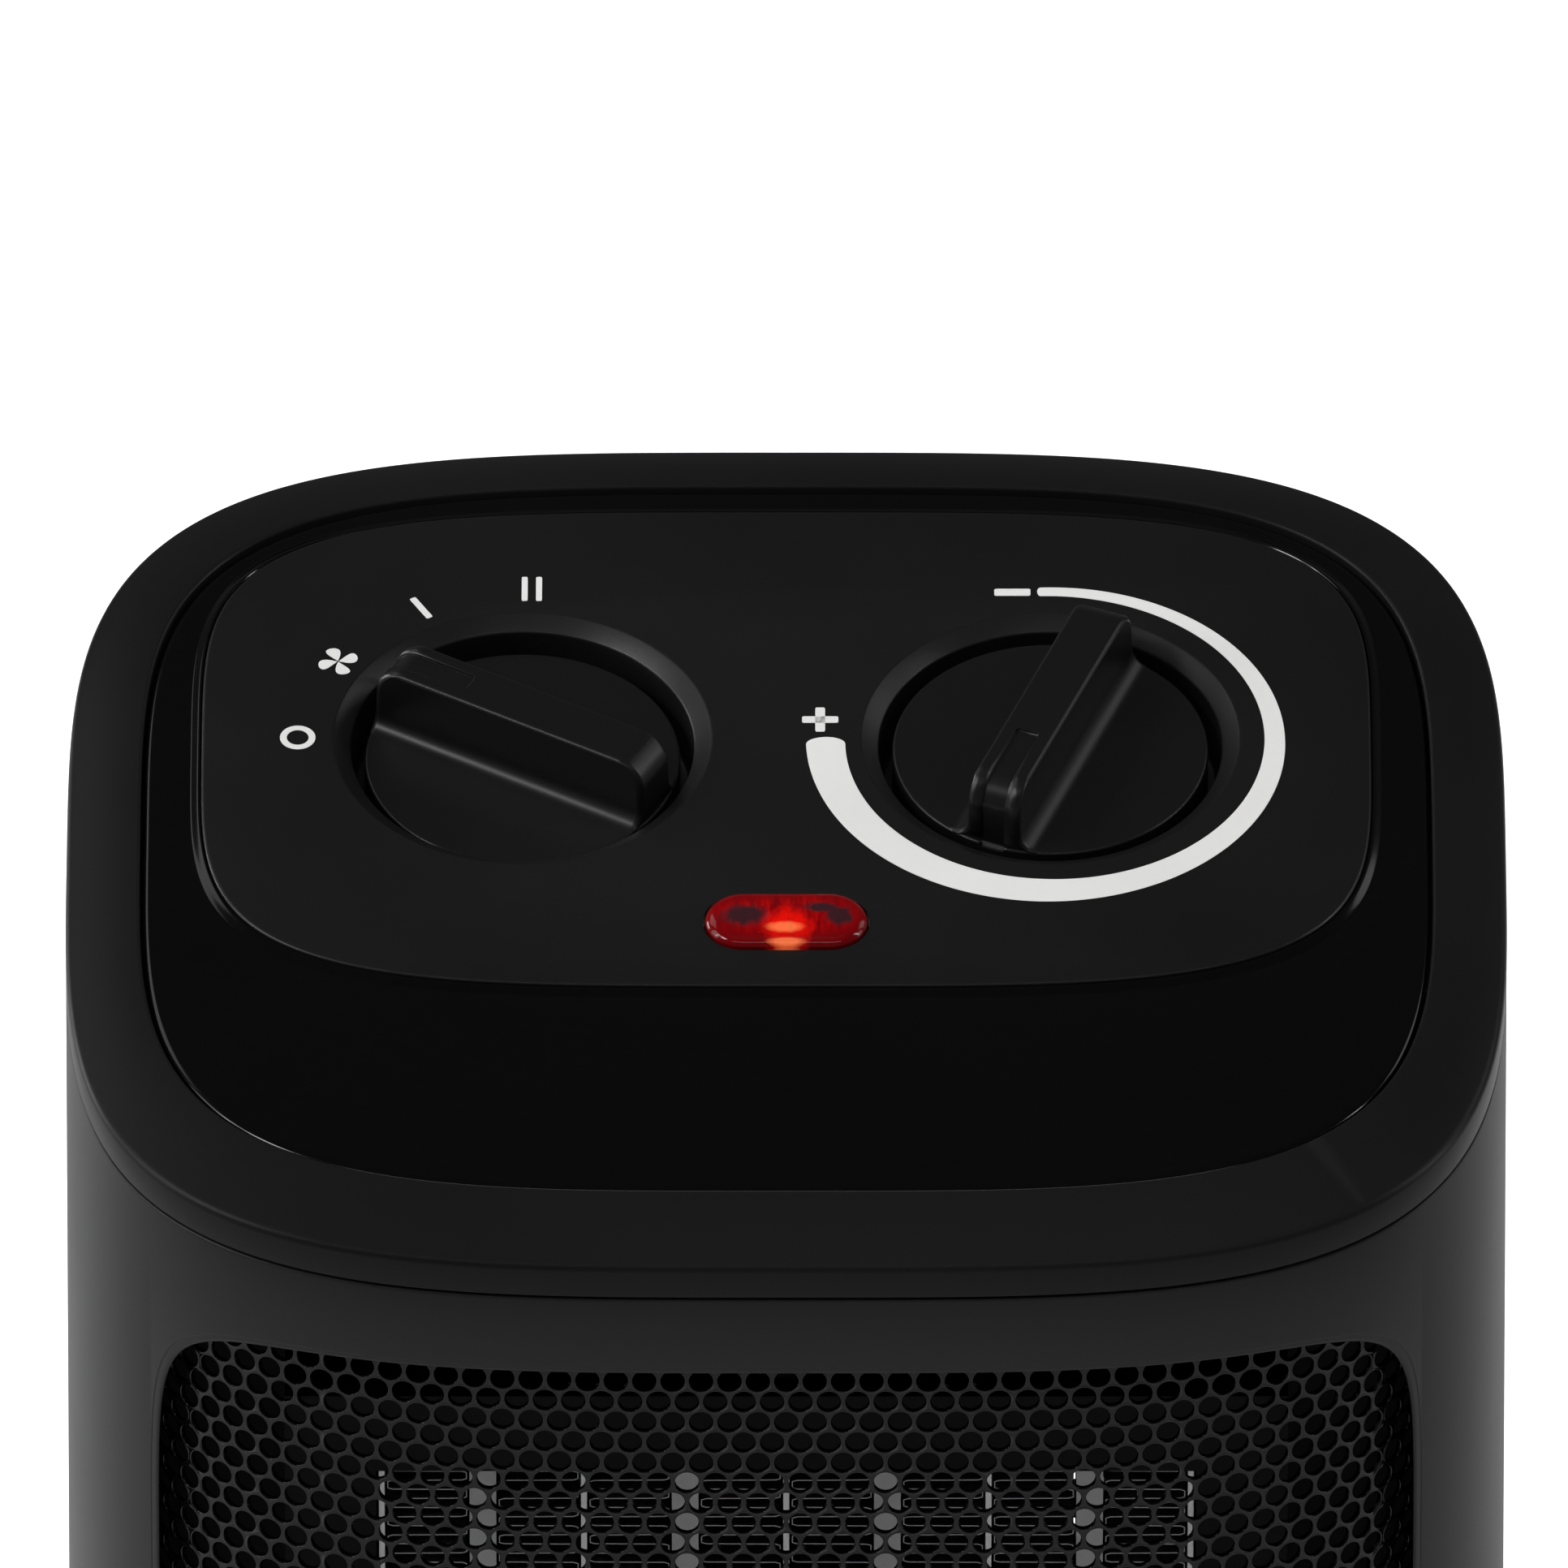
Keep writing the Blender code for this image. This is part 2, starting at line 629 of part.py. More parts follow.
def make_controls(deck, finish):
    """Two knobs on their shafts, and the switch and the thermostat under them."""
    left, right = knob_places()
    mode = pivot("mode_axis", (left, KNOB_Y, PANEL_RISE - MODE_KNOB_DROP), deck)
    make_knob("mode_knob", MODE_KNOB_DROP, MODE_POINTER_DEG, mode, finish["satin"])
    make_shaft("mode_shaft", MODE_KNOB_DROP, mode, finish["steel"])
    heat = pivot("thermostat_axis", (right, KNOB_Y, PANEL_RISE - THERMOSTAT_KNOB_DROP), deck)
    make_knob("thermostat_knob", THERMOSTAT_KNOB_DROP, THERMOSTAT_POINTER_DEG, heat, finish["satin"])
    make_shaft("thermostat_shaft", THERMOSTAT_KNOB_DROP, heat, finish["steel"])
    half = CONTROL_BLOCK_SIDE / 2
    low = CONTROL_TOP - CONTROL_BLOCK_HEIGHT
    body = block((left - half, KNOB_Y - half, low), (left + half, KNOB_Y + half, CONTROL_TOP))
    switch = object_from("rotary_switch", body, finish["bakelite"], deck)
    bevel(switch, 0.001)
    hole = CONTROL_TOP - SHAFT_ENGAGEMENT - KNOB_GAP
    above = CONTROL_TOP + WALL
    cut(switch, rod(SHAFT_RADIUS + KNOB_GAP, hole, above, left, KNOB_Y, 24), deck)
    low = CONTROL_TOP - THERMOSTAT_HEIGHT
    body = rod(THERMOSTAT_RADIUS, low, CONTROL_TOP, right, KNOB_Y)
    stat = object_from("thermostat", body, finish["ceramic"], deck)
    ear = THERMOSTAT_EAR_REACH
    ears = block(
        (right - ear, KNOB_Y - WALL * 2, low + WALL),
        (right + ear, KNOB_Y + WALL * 2, low + WALL * 3),
    )
    add(stat, ears, deck)
    cut(stat, rod(SHAFT_RADIUS + KNOB_GAP, hole, above, right, KNOB_Y, 24), deck)


def make_lamp(deck, finish):
    """A domed oblong lens with a skirt, and the neon bulb lying under it."""
    top = PANEL_RISE
    length, width = LAMP_LENGTH, LAMP_WIDTH
    low = top - LAMP_SKIRT_DEPTH
    rings = [oblong(length, width, low, LAMP_Y), oblong(length, width, top, LAMP_Y)]
    for share in (0.35, 0.7, 0.92):
        inset = width / 2 * (1 - math.sqrt(1 - share**2)) * 0.9
        z = top + LAMP_DOME_RISE * share
        rings.append(oblong(length - 2 * inset, width - 2 * inset, z, LAMP_Y))
    object_from("lamp_lens", loft(rings), finish["red_lens"], deck)
    bulb = rod(NEON_RADIUS, -NEON_LENGTH / 2, NEON_LENGTH / 2, count=16)
    turn = Matrix.Rotation(math.radians(90), 4, "Y")
    place = Matrix.Translation((0.0, LAMP_Y, low - NEON_RADIUS - GAP))
    bmesh.ops.transform(bulb, matrix=place @ turn, verts=bulb.verts)
    object_from("neon_lamp", bulb, finish["neon"], deck)


def make_grille(finish):
    """The curved sheet behind the window, which follows the inside of the front wall."""
    low = WINDOW_BOTTOM - GRILLE_OVERLAP
    high = WINDOW_TOP + GRILLE_OVERLAP
    near, far = WALL + GAP, GRILLE_INSET
    rings = [body_ring(near, low), body_ring(near, high), body_ring(far, high), body_ring(far, low)]
    grille = object_from("front_grille", loft(rings, closed=True), finish["enamel"])
    wrap = -HALF_Y + GRILLE_WRAP_DEPTH
    cut(grille, block((-FAR, wrap, -FAR), (FAR, FAR, FAR)))


def core_slab(name, x, width, finish):
    half = width / 2
    return object_from(
        name,
        block(
            (x - half, CORE_FRONT, FAN_Z - CORE_HEIGHT / 2),
            (x + half, CORE_BACK, FAN_Z + CORE_HEIGHT / 2),
        ),
        finish,
    )


def make_heating_core(finish):
    """Units of strip, fins, bar and fins, side by side, with one more strip at the end."""
    start = -CORE_UNITS * UNIT_PITCH / 2
    fin_width = (UNIT_PITCH - STRIP_WIDTH - BAR_WIDTH) / 2 - 2 * GAP
    for unit in range(CORE_UNITS):
        left = start + unit * UNIT_PITCH
        core_slab(f"contact_strip_{unit + 1}", left, STRIP_WIDTH, finish["steel"])
        bar_x = left + UNIT_PITCH / 2
        core_slab(f"ptc_bar_{unit + 1}", bar_x, BAR_WIDTH, finish["aluminium"])
        for side, number in ((-1, 2 * unit + 1), (1, 2 * unit + 2)):
            fin_x = bar_x + side * (BAR_WIDTH / 2 + GAP + fin_width / 2)
            core_slab(f"fin_bank_{number}", fin_x, fin_width, finish["aluminium"])
    core_slab(f"contact_strip_{CORE_UNITS + 1}", -start, STRIP_WIDTH, finish["steel"])
    make_core_frame(finish)


def make_core_frame(finish):
    side = FRAME_SIDE
    inner_x, inner_z = CORE_HALF_X + GAP, CORE_HEIGHT / 2 + GAP
    front, back = CORE_FRONT - FRAME_BEFORE_CORE, CORE_BACK + FRAME_BEHIND_CORE
    outer_z = inner_z + side
    frame = object_from(
        "heater_frame",
        block((-FRAME_HALF_X, front, FAN_Z - outer_z), (FRAME_HALF_X, back, FAN_Z + outer_z)),
        finish["frame"],
    )
    cut(
        frame,
        block((-inner_x, -FAR, FAN_Z - inner_z), (inner_x, FAR, FAN_Z + inner_z)),
    )
    foot = FAN_Z + inner_z + side + GAP
    middle = (CORE_FRONT + CORE_BACK) / 2
    for number, unit in ((1, -1.5), (2, 1.5)):
        x = unit * UNIT_PITCH
        object_from(
            f"terminal_{number}",
            block(
                (x - TERMINAL_WIDTH / 2, middle - STRIP_WIDTH / 2, foot),
                (x + TERMINAL_WIDTH / 2, middle + STRIP_WIDTH / 2, foot + TERMINAL_HEIGHT),
            ),
            finish["brass"],
        )
    object_from(
        "thermal_cutout",
        rod(CUTOUT_RADIUS, foot, foot + CUTOUT_LENGTH, 0.0, middle, 24),
        finish["bakelite"],
    )


def make_shroud(finish):
    """A plate across the body with a round duct for the fan, and four posts for the rear screws."""
    back = SHROUD_FRONT + SHROUD_PLATE
    inner = IMPELLER_RADIUS + IMPELLER_TIP_GAP
    low = BASE_BOTTOM + BASE_THICKNESS + 2 * GAP
    high = RIM_TOP - SEAM_DROP + SHROUD_FRONT * math.tan(SLOPE) - 3 * GAP
    half = side_inner_x(SHROUD_FRONT, FRONT_SEAM_Z) - 2 * GAP
    shroud = object_from(
        "fan_shroud",
        block((-half, SHROUD_FRONT, low), (half, back, high)),
        finish["frame"],
    )
    add(shroud, rod_y(inner + SHROUD_WALL, back - SHROUD_PLATE / 2, SHROUD_BACK, 0.0, FAN_Z, 40))
    for x, z in post_places():
        add(shroud, rod_y(POST_RADIUS, back - SHROUD_PLATE / 2, BOSS_FRONT - GAP, x, z, 16))
    cut(shroud, rod_y(inner, -FAR, FAR, 0.0, FAN_Z, 40))
    bores = []
    for x, z in post_places():
        start = BOSS_FRONT - REAR_SCREW_LENGTH
        bores.append(rod_y(SCREW_RADIUS + GAP, start, FAR, x, z, 16))
    cut(shroud, merged(*bores))


def make_impeller(finish):
    """Hub and pitched blades, around an axis along Y through the pivot."""
    front = SHROUD_FRONT + HUB_AHEAD
    axis = pivot("fan_axis", (0.0, front, FAN_Z))
    fan = object_from(
        "fan_impeller", rod_y(HUB_RADIUS, 0.0, HUB_LENGTH, 0.0, 0.0, 32), finish["frame"], axis
    )
    for number in range(BLADES):
        blade = block(
            (-BLADE_CHORD / 2, -BLADE_THICKNESS / 2, HUB_RADIUS * 0.7),
            (BLADE_CHORD / 2, BLADE_THICKNESS / 2, IMPELLER_RADIUS * 0.96),
        )
        pitch = Matrix.Rotation(math.radians(BLADE_PITCH_DEG), 4, "Z")
        turn = Matrix.Rotation(2 * math.pi * number / BLADES, 4, "Y")
        place = Matrix.Translation((0.0, HUB_LENGTH / 2, 0.0))
        bmesh.ops.transform(blade, matrix=place @ turn @ pitch, verts=blade.verts)
        add(fan, blade, axis)
    bore = MOTOR_SHAFT_RADIUS + GAP
    cut(fan, rod_y(bore, HUB_LENGTH / 3, HUB_LENGTH + WALL, 0.0, 0.0, 16), axis)
    shaft_start = HUB_LENGTH / 3 + GAP
    shaft_end = STACK_BACK + STAND_OFF * 2 - front
    shaft = rod_y(MOTOR_SHAFT_RADIUS, shaft_start, shaft_end, 0.0, 0.0, 16)
    object_from("motor_shaft", shaft, finish["steel"], axis)
    rotor = object_from(
        "motor_rotor",
        rod_y(ROTOR_RADIUS, STACK_FRONT - front, STACK_BACK - front, 0.0, 0.0, 32),
        finish["steel"],
        axis,
    )
    cut(rotor, rod_y(bore, -FAR, FAR, 0.0, 0.0, 16), axis)


def bearing_strap(name, plate_low, plate_high, pad_low, pad_high, half_width, finish):
    """A strap across the motor with two pads against the stack and a bearing hole."""
    half_height = MOTOR_MOUNT_HEIGHT / 2
    strap = object_from(
        name,
        block((-half_width, plate_low, FAN_Z - half_height), (half_width, plate_high, FAN_Z + half_height)),
        finish,
    )
    for side in (-1, 1):
        x = side * (STACK_HALF_WIDTH - MOTOR_SCREW_INSET)
        add(strap, rod_y(MOTOR_SCREW_INSET - GAP, pad_low, pad_high, x, FAN_Z, 20))
        cut(strap, rod_y(SCREW_RADIUS + GAP, -FAR, FAR, x, FAN_Z, 16))
    cut(strap, rod_y(MOTOR_SHAFT_RADIUS + RUNNING_GAP, -FAR, FAR, 0.0, FAN_Z, 20))


def make_motor(finish):
    """A shaded-pole motor: laminated stack, coil round its lower bar, and two bearing straps."""
    z = FAN_Z
    stack = object_from(
        "motor_core",
        block(
            (-STACK_HALF_WIDTH, STACK_FRONT, z - STACK_BOTTOM),
            (STACK_HALF_WIDTH, STACK_BACK, z + STACK_TOP),
        ),
        finish["steel"],
    )
    cut(stack, rod_y(ROTOR_RADIUS + RUNNING_GAP, -FAR, FAR, 0.0, z, 40))
    bar_top = z - STACK_BOTTOM + COIL_BAR_HEIGHT
    window_half = COIL_HALF_WIDTH + GAP
    window_top = bar_top + COIL_BUILD + 2 * GAP
    cut(stack, block((-window_half, -FAR, bar_top), (window_half, FAR, window_top)))
    for side in (-1, 1):
        x = side * (STACK_HALF_WIDTH - MOTOR_SCREW_INSET)
        cut(stack, rod_y(SCREW_RADIUS + GAP, -FAR, FAR, x, z, 16))
    coil = object_from(
        "motor_coil",
        block(
            (-COIL_HALF_WIDTH, STACK_FRONT - STAND_OFF + GAP, z - STACK_BOTTOM - COIL_BUILD),
            (COIL_HALF_WIDTH, STACK_BACK + STAND_OFF, bar_top + COIL_BUILD),
        ),
        finish["copper"],
    )
    cut(
        coil,
        block(
            (-FAR, STACK_FRONT - GAP, z - STACK_BOTTOM - GAP),
            (FAR, STACK_BACK + GAP, bar_top + GAP),
        ),
    )
    mount_low = SHROUD_BACK + GAP
    mount_high = mount_low + MOTOR_MOUNT_THICKNESS
    reach = IMPELLER_RADIUS + IMPELLER_TIP_GAP + SHROUD_WALL
    bearing_strap(
        "motor_mount", mount_low, mount_high, mount_high - GAP, STACK_FRONT - GAP, reach, finish["steel"]
    )
    rear_low = STACK_BACK + STAND_OFF
    rear_high = rear_low + MOTOR_MOUNT_THICKNESS
    pads = (STACK_BACK + GAP, rear_low + GAP)
    bearing_strap("rear_bearing", rear_low, rear_high, *pads, STACK_HALF_WIDTH, finish["steel"])
    for side, label in ((-1, "left"), (1, "right")):
        x = side * (STACK_HALF_WIDTH - MOTOR_SCREW_INSET)
        make_screw(f"motor_screw_{label}", x, rear_high + GAP, z, rear_high - mount_low, finish["steel"])


def make_screw(name, x, seat, z, length, finish):
    """A pan-head screw along Y: its head is behind the seat, and its shank runs to the front."""
    rings = [
        circle(SCREW_RADIUS, -length, count=16),
        circle(SCREW_RADIUS, 0.0, count=16),
        circle(SCREW_HEAD_RADIUS, 0.0, count=16),
        circle(SCREW_HEAD_RADIUS, SCREW_HEAD_HEIGHT * 0.6, count=16),
        circle(SCREW_HEAD_RADIUS * 0.7, SCREW_HEAD_HEIGHT, count=16),
    ]
    object_from(name, along_y(loft(rings), (x, seat, z)), finish)


def make_rear_hardware(finish):
    seat = SCREW_SEAT + GAP
    for (x, z), label in zip(post_places(), ("low_left", "low_right", "top_left", "top_right")):
        make_screw(f"rear_screw_{label}", x, seat, z, REAR_SCREW_LENGTH, finish["steel"])
    rings = [
        circle(GLAND_RADIUS, 0.0, count=24),
        circle(GLAND_RADIUS, GLAND_LENGTH - GLAND_TAPER, count=24),
        circle(GLAND_RADIUS * 0.85, GLAND_LENGTH, count=24),
    ]
    gland = object_from(
        "cord_gland",
        along_y(loft(rings), (GLAND_X, HALF_Y - GLAND_LENGTH, GLAND_Z)),
        finish["rubber"],
    )
    cut(gland, rod_y(GLAND_BORE, -FAR, FAR, GLAND_X, GLAND_Z, 24))


def foot_places():
    x, y = HALF_X - FOOT_INSET_X, HALF_Y - FOOT_INSET_Y
    return {
        "front_left": (-x, -y),
        "front_right": (x, -y),
        "rear_left": (-x, y),
        "rear_right": (x, y),
    }


def make_base(finish):
    """The floor plate inside the wall, with feet, tip-over switch, plunger and two screws."""
    top = BASE_BOTTOM + BASE_THICKNESS
    inset = WALL + GAP + DRAFT * BASE_THICKNESS
    plate = object_from(
        "base_plate", loft([body_ring(inset, BASE_BOTTOM), body_ring(inset, top)]), finish["body"]
    )
    cut(plate, rod(PLUNGER_RADIUS + GAP, -FAR, FAR, 0.0, PLUNGER_Y, 24))
    for name, (x, y) in foot_places().items():
        rings = [
            circle(FOOT_RADIUS * 0.86, 0.0, x, y, 24),
            circle(FOOT_RADIUS, FOOT_HEIGHT * 0.3, x, y, 24),
            circle(FOOT_RADIUS, BASE_BOTTOM - GAP, x, y, 24),
        ]
        object_from(f"foot_{name}", loft(rings), finish["rubber"])
    low = top + GAP
    half_x, half_y = TIP_SWITCH_WIDTH / 2, TIP_SWITCH_DEPTH / 2
    switch = object_from(
        "tip_switch",
        block(
            (-half_x, PLUNGER_Y - half_y, low),
            (half_x, PLUNGER_Y + half_y, low + TIP_SWITCH_HEIGHT),
        ),
        finish["bakelite"],
    )
    hole_top = PLUNGER_HEIGHT + RUNNING_GAP
    cut(switch, rod(PLUNGER_RADIUS + GAP, -FAR, hole_top, 0.0, PLUNGER_Y, 24))
    slide = pivot("plunger_axis", (0.0, PLUNGER_Y, GAP))
    rings = [
        circle(PLUNGER_RADIUS * 0.7, 0.0, count=24),
        circle(PLUNGER_RADIUS, PLUNGER_RADIUS * 0.4, count=24),
        circle(PLUNGER_RADIUS, PLUNGER_HEIGHT - GAP, count=24),
    ]
    object_from("tip_plunger", loft(rings), finish["plunger"], slide)


def make_finishes():
    return {
        "body": material("body_black", (0.016, 0.016, 0.017), 0.42),
        "satin": material("satin_black", (0.014, 0.014, 0.015), 0.38),
        "gloss": material("gloss_black", (0.006, 0.006, 0.006), 0.10),
        "frame": material("frame_black", (0.020, 0.020, 0.022), 0.55),
        "enamel": material("enamel_black", (0.010, 0.010, 0.010), 0.30, 0.4),
        "red_lens": material("red_lens", (0.55, 0.010, 0.008), 0.12),
        "neon": material("clear_glass", (0.90, 0.60, 0.45), 0.05),
        "steel": material("zinc_steel", (0.55, 0.55, 0.57), 0.35, 1.0),
        "aluminium": material("aluminium", (0.62, 0.63, 0.65), 0.32, 1.0),
        "brass": material("brass", (0.72, 0.55, 0.25), 0.30, 1.0),
        "copper": material("copper_wire", (0.60, 0.26, 0.13), 0.40, 0.8),
        "bakelite": material("bakelite", (0.055, 0.035, 0.025), 0.45),
        "ceramic": material("ceramic", (0.62, 0.58, 0.50), 0.60),
        "rubber": material("rubber", (0.020, 0.020, 0.020), 0.80),
        "plunger": material("plunger_white", (0.70, 0.70, 0.68), 0.45),
    }


def main():
    clear_scene()
    finish = make_finishes()
    make_shells(finish)
    deck = pivot("deck", (0.0, 0.0, RIM_TOP), tilt=SLOPE)
    make_rim(finish)
    make_insert(deck, finish)
    make_panel(deck, finish)
    make_controls(deck, finish)
    make_lamp(deck, finish)
    make_grille(finish)
    make_heating_core(finish)
    make_shroud(finish)
    make_impeller(finish)
    make_motor(finish)
    make_rear_hardware(finish)
    make_base(finish)


main()
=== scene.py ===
"""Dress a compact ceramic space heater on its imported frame.

Each sub-assembly is a class that holds its own sizes, builds its meshes and gives
them their finish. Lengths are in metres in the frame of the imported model: X to the
right, Y to the back, Z up, with the front of the heater towards -Y.
"""

from __future__ import annotations

import logging
import math
from collections.abc import Iterable, Sequence
from dataclasses import dataclass, field
from enum import Enum

import bmesh
import bpy
import numpy as np
from mathutils import Matrix, Vector


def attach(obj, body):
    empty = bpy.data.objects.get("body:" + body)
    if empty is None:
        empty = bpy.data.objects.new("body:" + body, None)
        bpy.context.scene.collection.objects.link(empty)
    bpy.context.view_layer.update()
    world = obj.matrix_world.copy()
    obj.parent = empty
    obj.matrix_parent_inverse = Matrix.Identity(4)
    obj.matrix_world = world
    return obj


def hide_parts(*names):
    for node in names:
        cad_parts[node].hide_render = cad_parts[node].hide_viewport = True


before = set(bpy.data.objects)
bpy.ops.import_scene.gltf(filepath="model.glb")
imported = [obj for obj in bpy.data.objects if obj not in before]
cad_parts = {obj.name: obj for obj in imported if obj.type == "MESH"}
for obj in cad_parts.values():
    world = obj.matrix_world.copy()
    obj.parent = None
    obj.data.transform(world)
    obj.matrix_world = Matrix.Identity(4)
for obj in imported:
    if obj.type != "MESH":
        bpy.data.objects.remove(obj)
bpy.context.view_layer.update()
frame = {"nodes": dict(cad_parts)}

LOG = logging.getLogger("heater")
HOUSING = "housing"
MM = 0.001
FAR = 0.5
THROUGH = 20 * MM
WELD = 1e-6
FINE_POINTS = 6000
CORNER_POINTS = 2000

Colour = tuple[float, float, float]
Pair = tuple[float, float]
Piece = bpy.types.Object
Socket = bpy.types.NodeSocket
Fed = bpy.types.NodeSocket | float | tuple[float, float, float]


# Shapes


def superellipse(half: Pair, power: float, count: int, centre: Pair = (0.0, 0.0)) -> np.ndarray:
    """Trace a rounded plan outline.

    Args:
        half: Half the length along X and along Y.
        power: How square the outline is, 2 being an ellipse.
        count: Number of points.
        centre: Middle of the outline.

    Returns:
        An array of count points, two numbers each.
    """
    turn = 2 * np.pi * (np.arange(count) + 0.5) / count
    c, s = np.cos(turn), np.sin(turn)
    x = half[0] * np.sign(c) * np.abs(c) ** (2 / power) + centre[0]
    y = half[1] * np.sign(s) * np.abs(s) ** (2 / power) + centre[1]
    return np.stack([x, y], axis=1)


def turned(ring: np.ndarray, degrees: float) -> np.ndarray:
    """Turn a plan outline about the origin, against the clock.

    Args:
        ring: The outline's points.
        degrees: The angle.

    Returns:
        The turned points.
    """
    a = math.radians(degrees)
    turn = np.array([[math.cos(a), -math.sin(a)], [math.sin(a), math.cos(a)]])
    return ring @ turn.T


def circle(radius: float, count: int, centre: Pair = (0.0, 0.0)) -> np.ndarray:
    """Trace a circle of count points."""
    return superellipse((radius, radius), 2.0, count, centre)


def oblong(length: float, width: float, count: int, centre: Pair = (0.0, 0.0)) -> np.ndarray:
    """Trace a slot outline with round ends, long along X.

    Args:
        length: Whole length.
        width: Whole width, and twice the radius of the ends.
        count: Number of points.
        centre: Middle of the slot.

    Returns:
        An array of count points, two numbers each.
    """
    ring = circle(width / 2, count)
    ring[:, 0] += np.sign(ring[:, 0]) * (length - width) / 2
    return ring + np.array(centre)


def even(ring: np.ndarray, count: int) -> np.ndarray:
    """Spread points evenly along a closed outline.

    Args:
        ring: The outline's points.
        count: How many points the new outline has.

    Returns:
        An array of count points on the same outline.
    """
    loop = np.vstack([ring, ring[:1]])
    along = np.concatenate([[0.0], np.cumsum(np.linalg.norm(np.diff(loop, axis=0), axis=1))])
    places = np.linspace(0.0, along[-1], count, endpoint=False)
    return np.stack([np.interp(places, along, loop[:, axis]) for axis in (0, 1)], axis=1)


def raised(ring: np.ndarray, z: float | np.ndarray) -> np.ndarray:
    """Give a plan outline its height."""
    return np.column_stack([ring, np.broadcast_to(z, len(ring))])


def upright(ring: np.ndarray, y: float) -> np.ndarray:
    """Stand an outline up, facing along Y, at its place in depth."""
    return np.column_stack([ring[:, 0], np.full(len(ring), y), ring[:, 1]])


def moved(points: np.ndarray, matrix: Matrix) -> np.ndarray:
    """Turn and move points by a matrix."""
    table = np.array(matrix)
    return points @ table[:3, :3].T + table[:3, 3]


def crease(piece: Piece, angle: float = 32.0) -> None:
    """Shade a piece smooth, keeping edges sharper than an angle in degrees."""
    piece.data.shade_smooth()
    piece.data.set_sharp_from_angle(angle=math.radians(angle))


def from_bmesh(name: str, bm: bmesh.types.BMesh) -> Piece:
    """Make a piece from a bmesh, with its faces turned outwards.

    Args:
        name: The piece's name.
        bm: The shape, which is freed.

    Returns:
        The new piece, linked into the scene.
    """
    bmesh.ops.recalc_face_normals(bm, faces=bm.faces)
    mesh = bpy.data.meshes.new(name)
    bm.to_mesh(mesh)
    bm.free()
    piece = bpy.data.objects.new(name, mesh)
    bpy.context.scene.collection.objects.link(piece)
    crease(piece)
    return piece


def from_faces(name: str, points: np.ndarray, faces: Iterable[Sequence[int]]) -> Piece:
    """Make a piece from points and faces.

    Args:
        name: The piece's name.
        points: One row of three numbers for each point.
        faces: The indices of each face's points.

    Returns:
        The new piece, linked into the scene.
    """
    mesh = bpy.data.meshes.new(name)
    mesh.from_pydata([tuple(row) for row in points.tolist()], [], list(faces))
    bm = bmesh.new()
    bm.from_mesh(mesh)
    bpy.data.meshes.remove(mesh)
    return from_bmesh(name, bm)


def skin(
    name: str,
    rings: Sequence[np.ndarray],
    closed: bool = False,
    caps: bool = True,
    matrix: Matrix | None = None,
) -> Piece:
    """Stretch a skin over rings of equal count.

    Args:
        name: The piece's name.
        rings: The rings in order, each an array of three numbers a point.
        closed: Whether the last ring is joined to the first.
        caps: Whether the first and last rings are filled.
        matrix: Where the finished shape is moved to.

    Returns:
        The new piece.
    """
    count = len(rings[0])
    points = np.vstack(rings)
    if matrix is not None:
        points = moved(points, matrix)
    spans = len(rings) if closed else len(rings) - 1
    faces: list[tuple[int, ...]] = []
    for span in range(spans):
        low, high = span * count, (span + 1) % len(rings) * count
        for i in range(count):
            j = (i + 1) % count
            faces.append((low + i, low + j, high + j, high + i))
    if caps and not closed:
        faces.append(tuple(range(count)))
        faces.append(tuple(range(len(points) - count, len(points))))
    return from_faces(name, points, faces)


def strip(name: str, rows: Sequence[np.ndarray]) -> Piece:
    """Stretch an open sheet over rows of equal count.

    Args:
        name: The piece's name.
        rows: The rows in order, each an array of three numbers a point.

    Returns:
        The new piece.
    """
    count = len(rows[0])
    faces = []
    for row in range(len(rows) - 1):
        for i in range(count - 1):
            a = row * count + i
            faces.append((a, a + 1, a + 1 + count, a + count))
    return from_faces(name, np.vstack(rows), faces)


def block(name: str, low: Sequence[float], high: Sequence[float]) -> Piece:
    """Make a box, used as a cutter, from its lowest and highest corners.

    Args:
        name: The piece's name.
        low: Its lowest corner.
        high: Its highest corner.

    Returns:
        The new piece.
    """
    ring = np.array([[low[0], low[1]], [high[0], low[1]], [high[0], high[1]], [low[0], high[1]]])
    return skin(name, [raised(ring, low[2]), raised(ring, high[2])])


def rod_y(name: str, profile: Sequence[Pair], x: float, z: float, count: int = 48) -> Piece:
    """Turn a profile round an axis that runs along Y.

    Args:
        name: The piece's name.
        profile: Radius and Y of each step.
        x: Where the axis is along X.
        z: Where the axis is in height.
        count: Points round the axis.

    Returns:
        The new piece, closed at both ends.
    """
    return skin(name, [upright(circle(radius, count) + (x, z), y) for radius, y in profile])


def lathe(name: str, profile: Sequence[Pair], count: int, centre: Pair, **options) -> Piece:
    """Turn a profile of radius and height round an upright axis.

    Args:
        name: The piece's name.
        profile: Radius and height of each step.
        count: Points round the axis.
        centre: Where the axis stands.
        **options: Passed on to skin.

    Returns:
        The new piece.
    """
    rings = [raised(circle(radius, count, centre), z) for radius, z in profile]
    return skin(name, rings, **options)


def arc(start: Pair, centre: Pair, end: Pair, steps: int) -> list[Pair]:
    """Round a corner with part of an ellipse between two points.

    Args:
        start: Where the corner starts.
        centre: The corner that the curve is drawn towards.
        end: Where the corner ends.
        steps: How many pieces the curve has.

    Returns:
        The points of the curve, both ends among them.
    """
    found = []
    for step in range(steps + 1):
        a = math.pi / 2 * step / steps
        away, back = 1 - math.sin(a), 1 - math.cos(a)
        x = centre[0] + (start[0] - centre[0]) * away + (end[0] - centre[0]) * back
        y = centre[1] + (start[1] - centre[1]) * away + (end[1] - centre[1]) * back
        found.append((x, y))
    return found


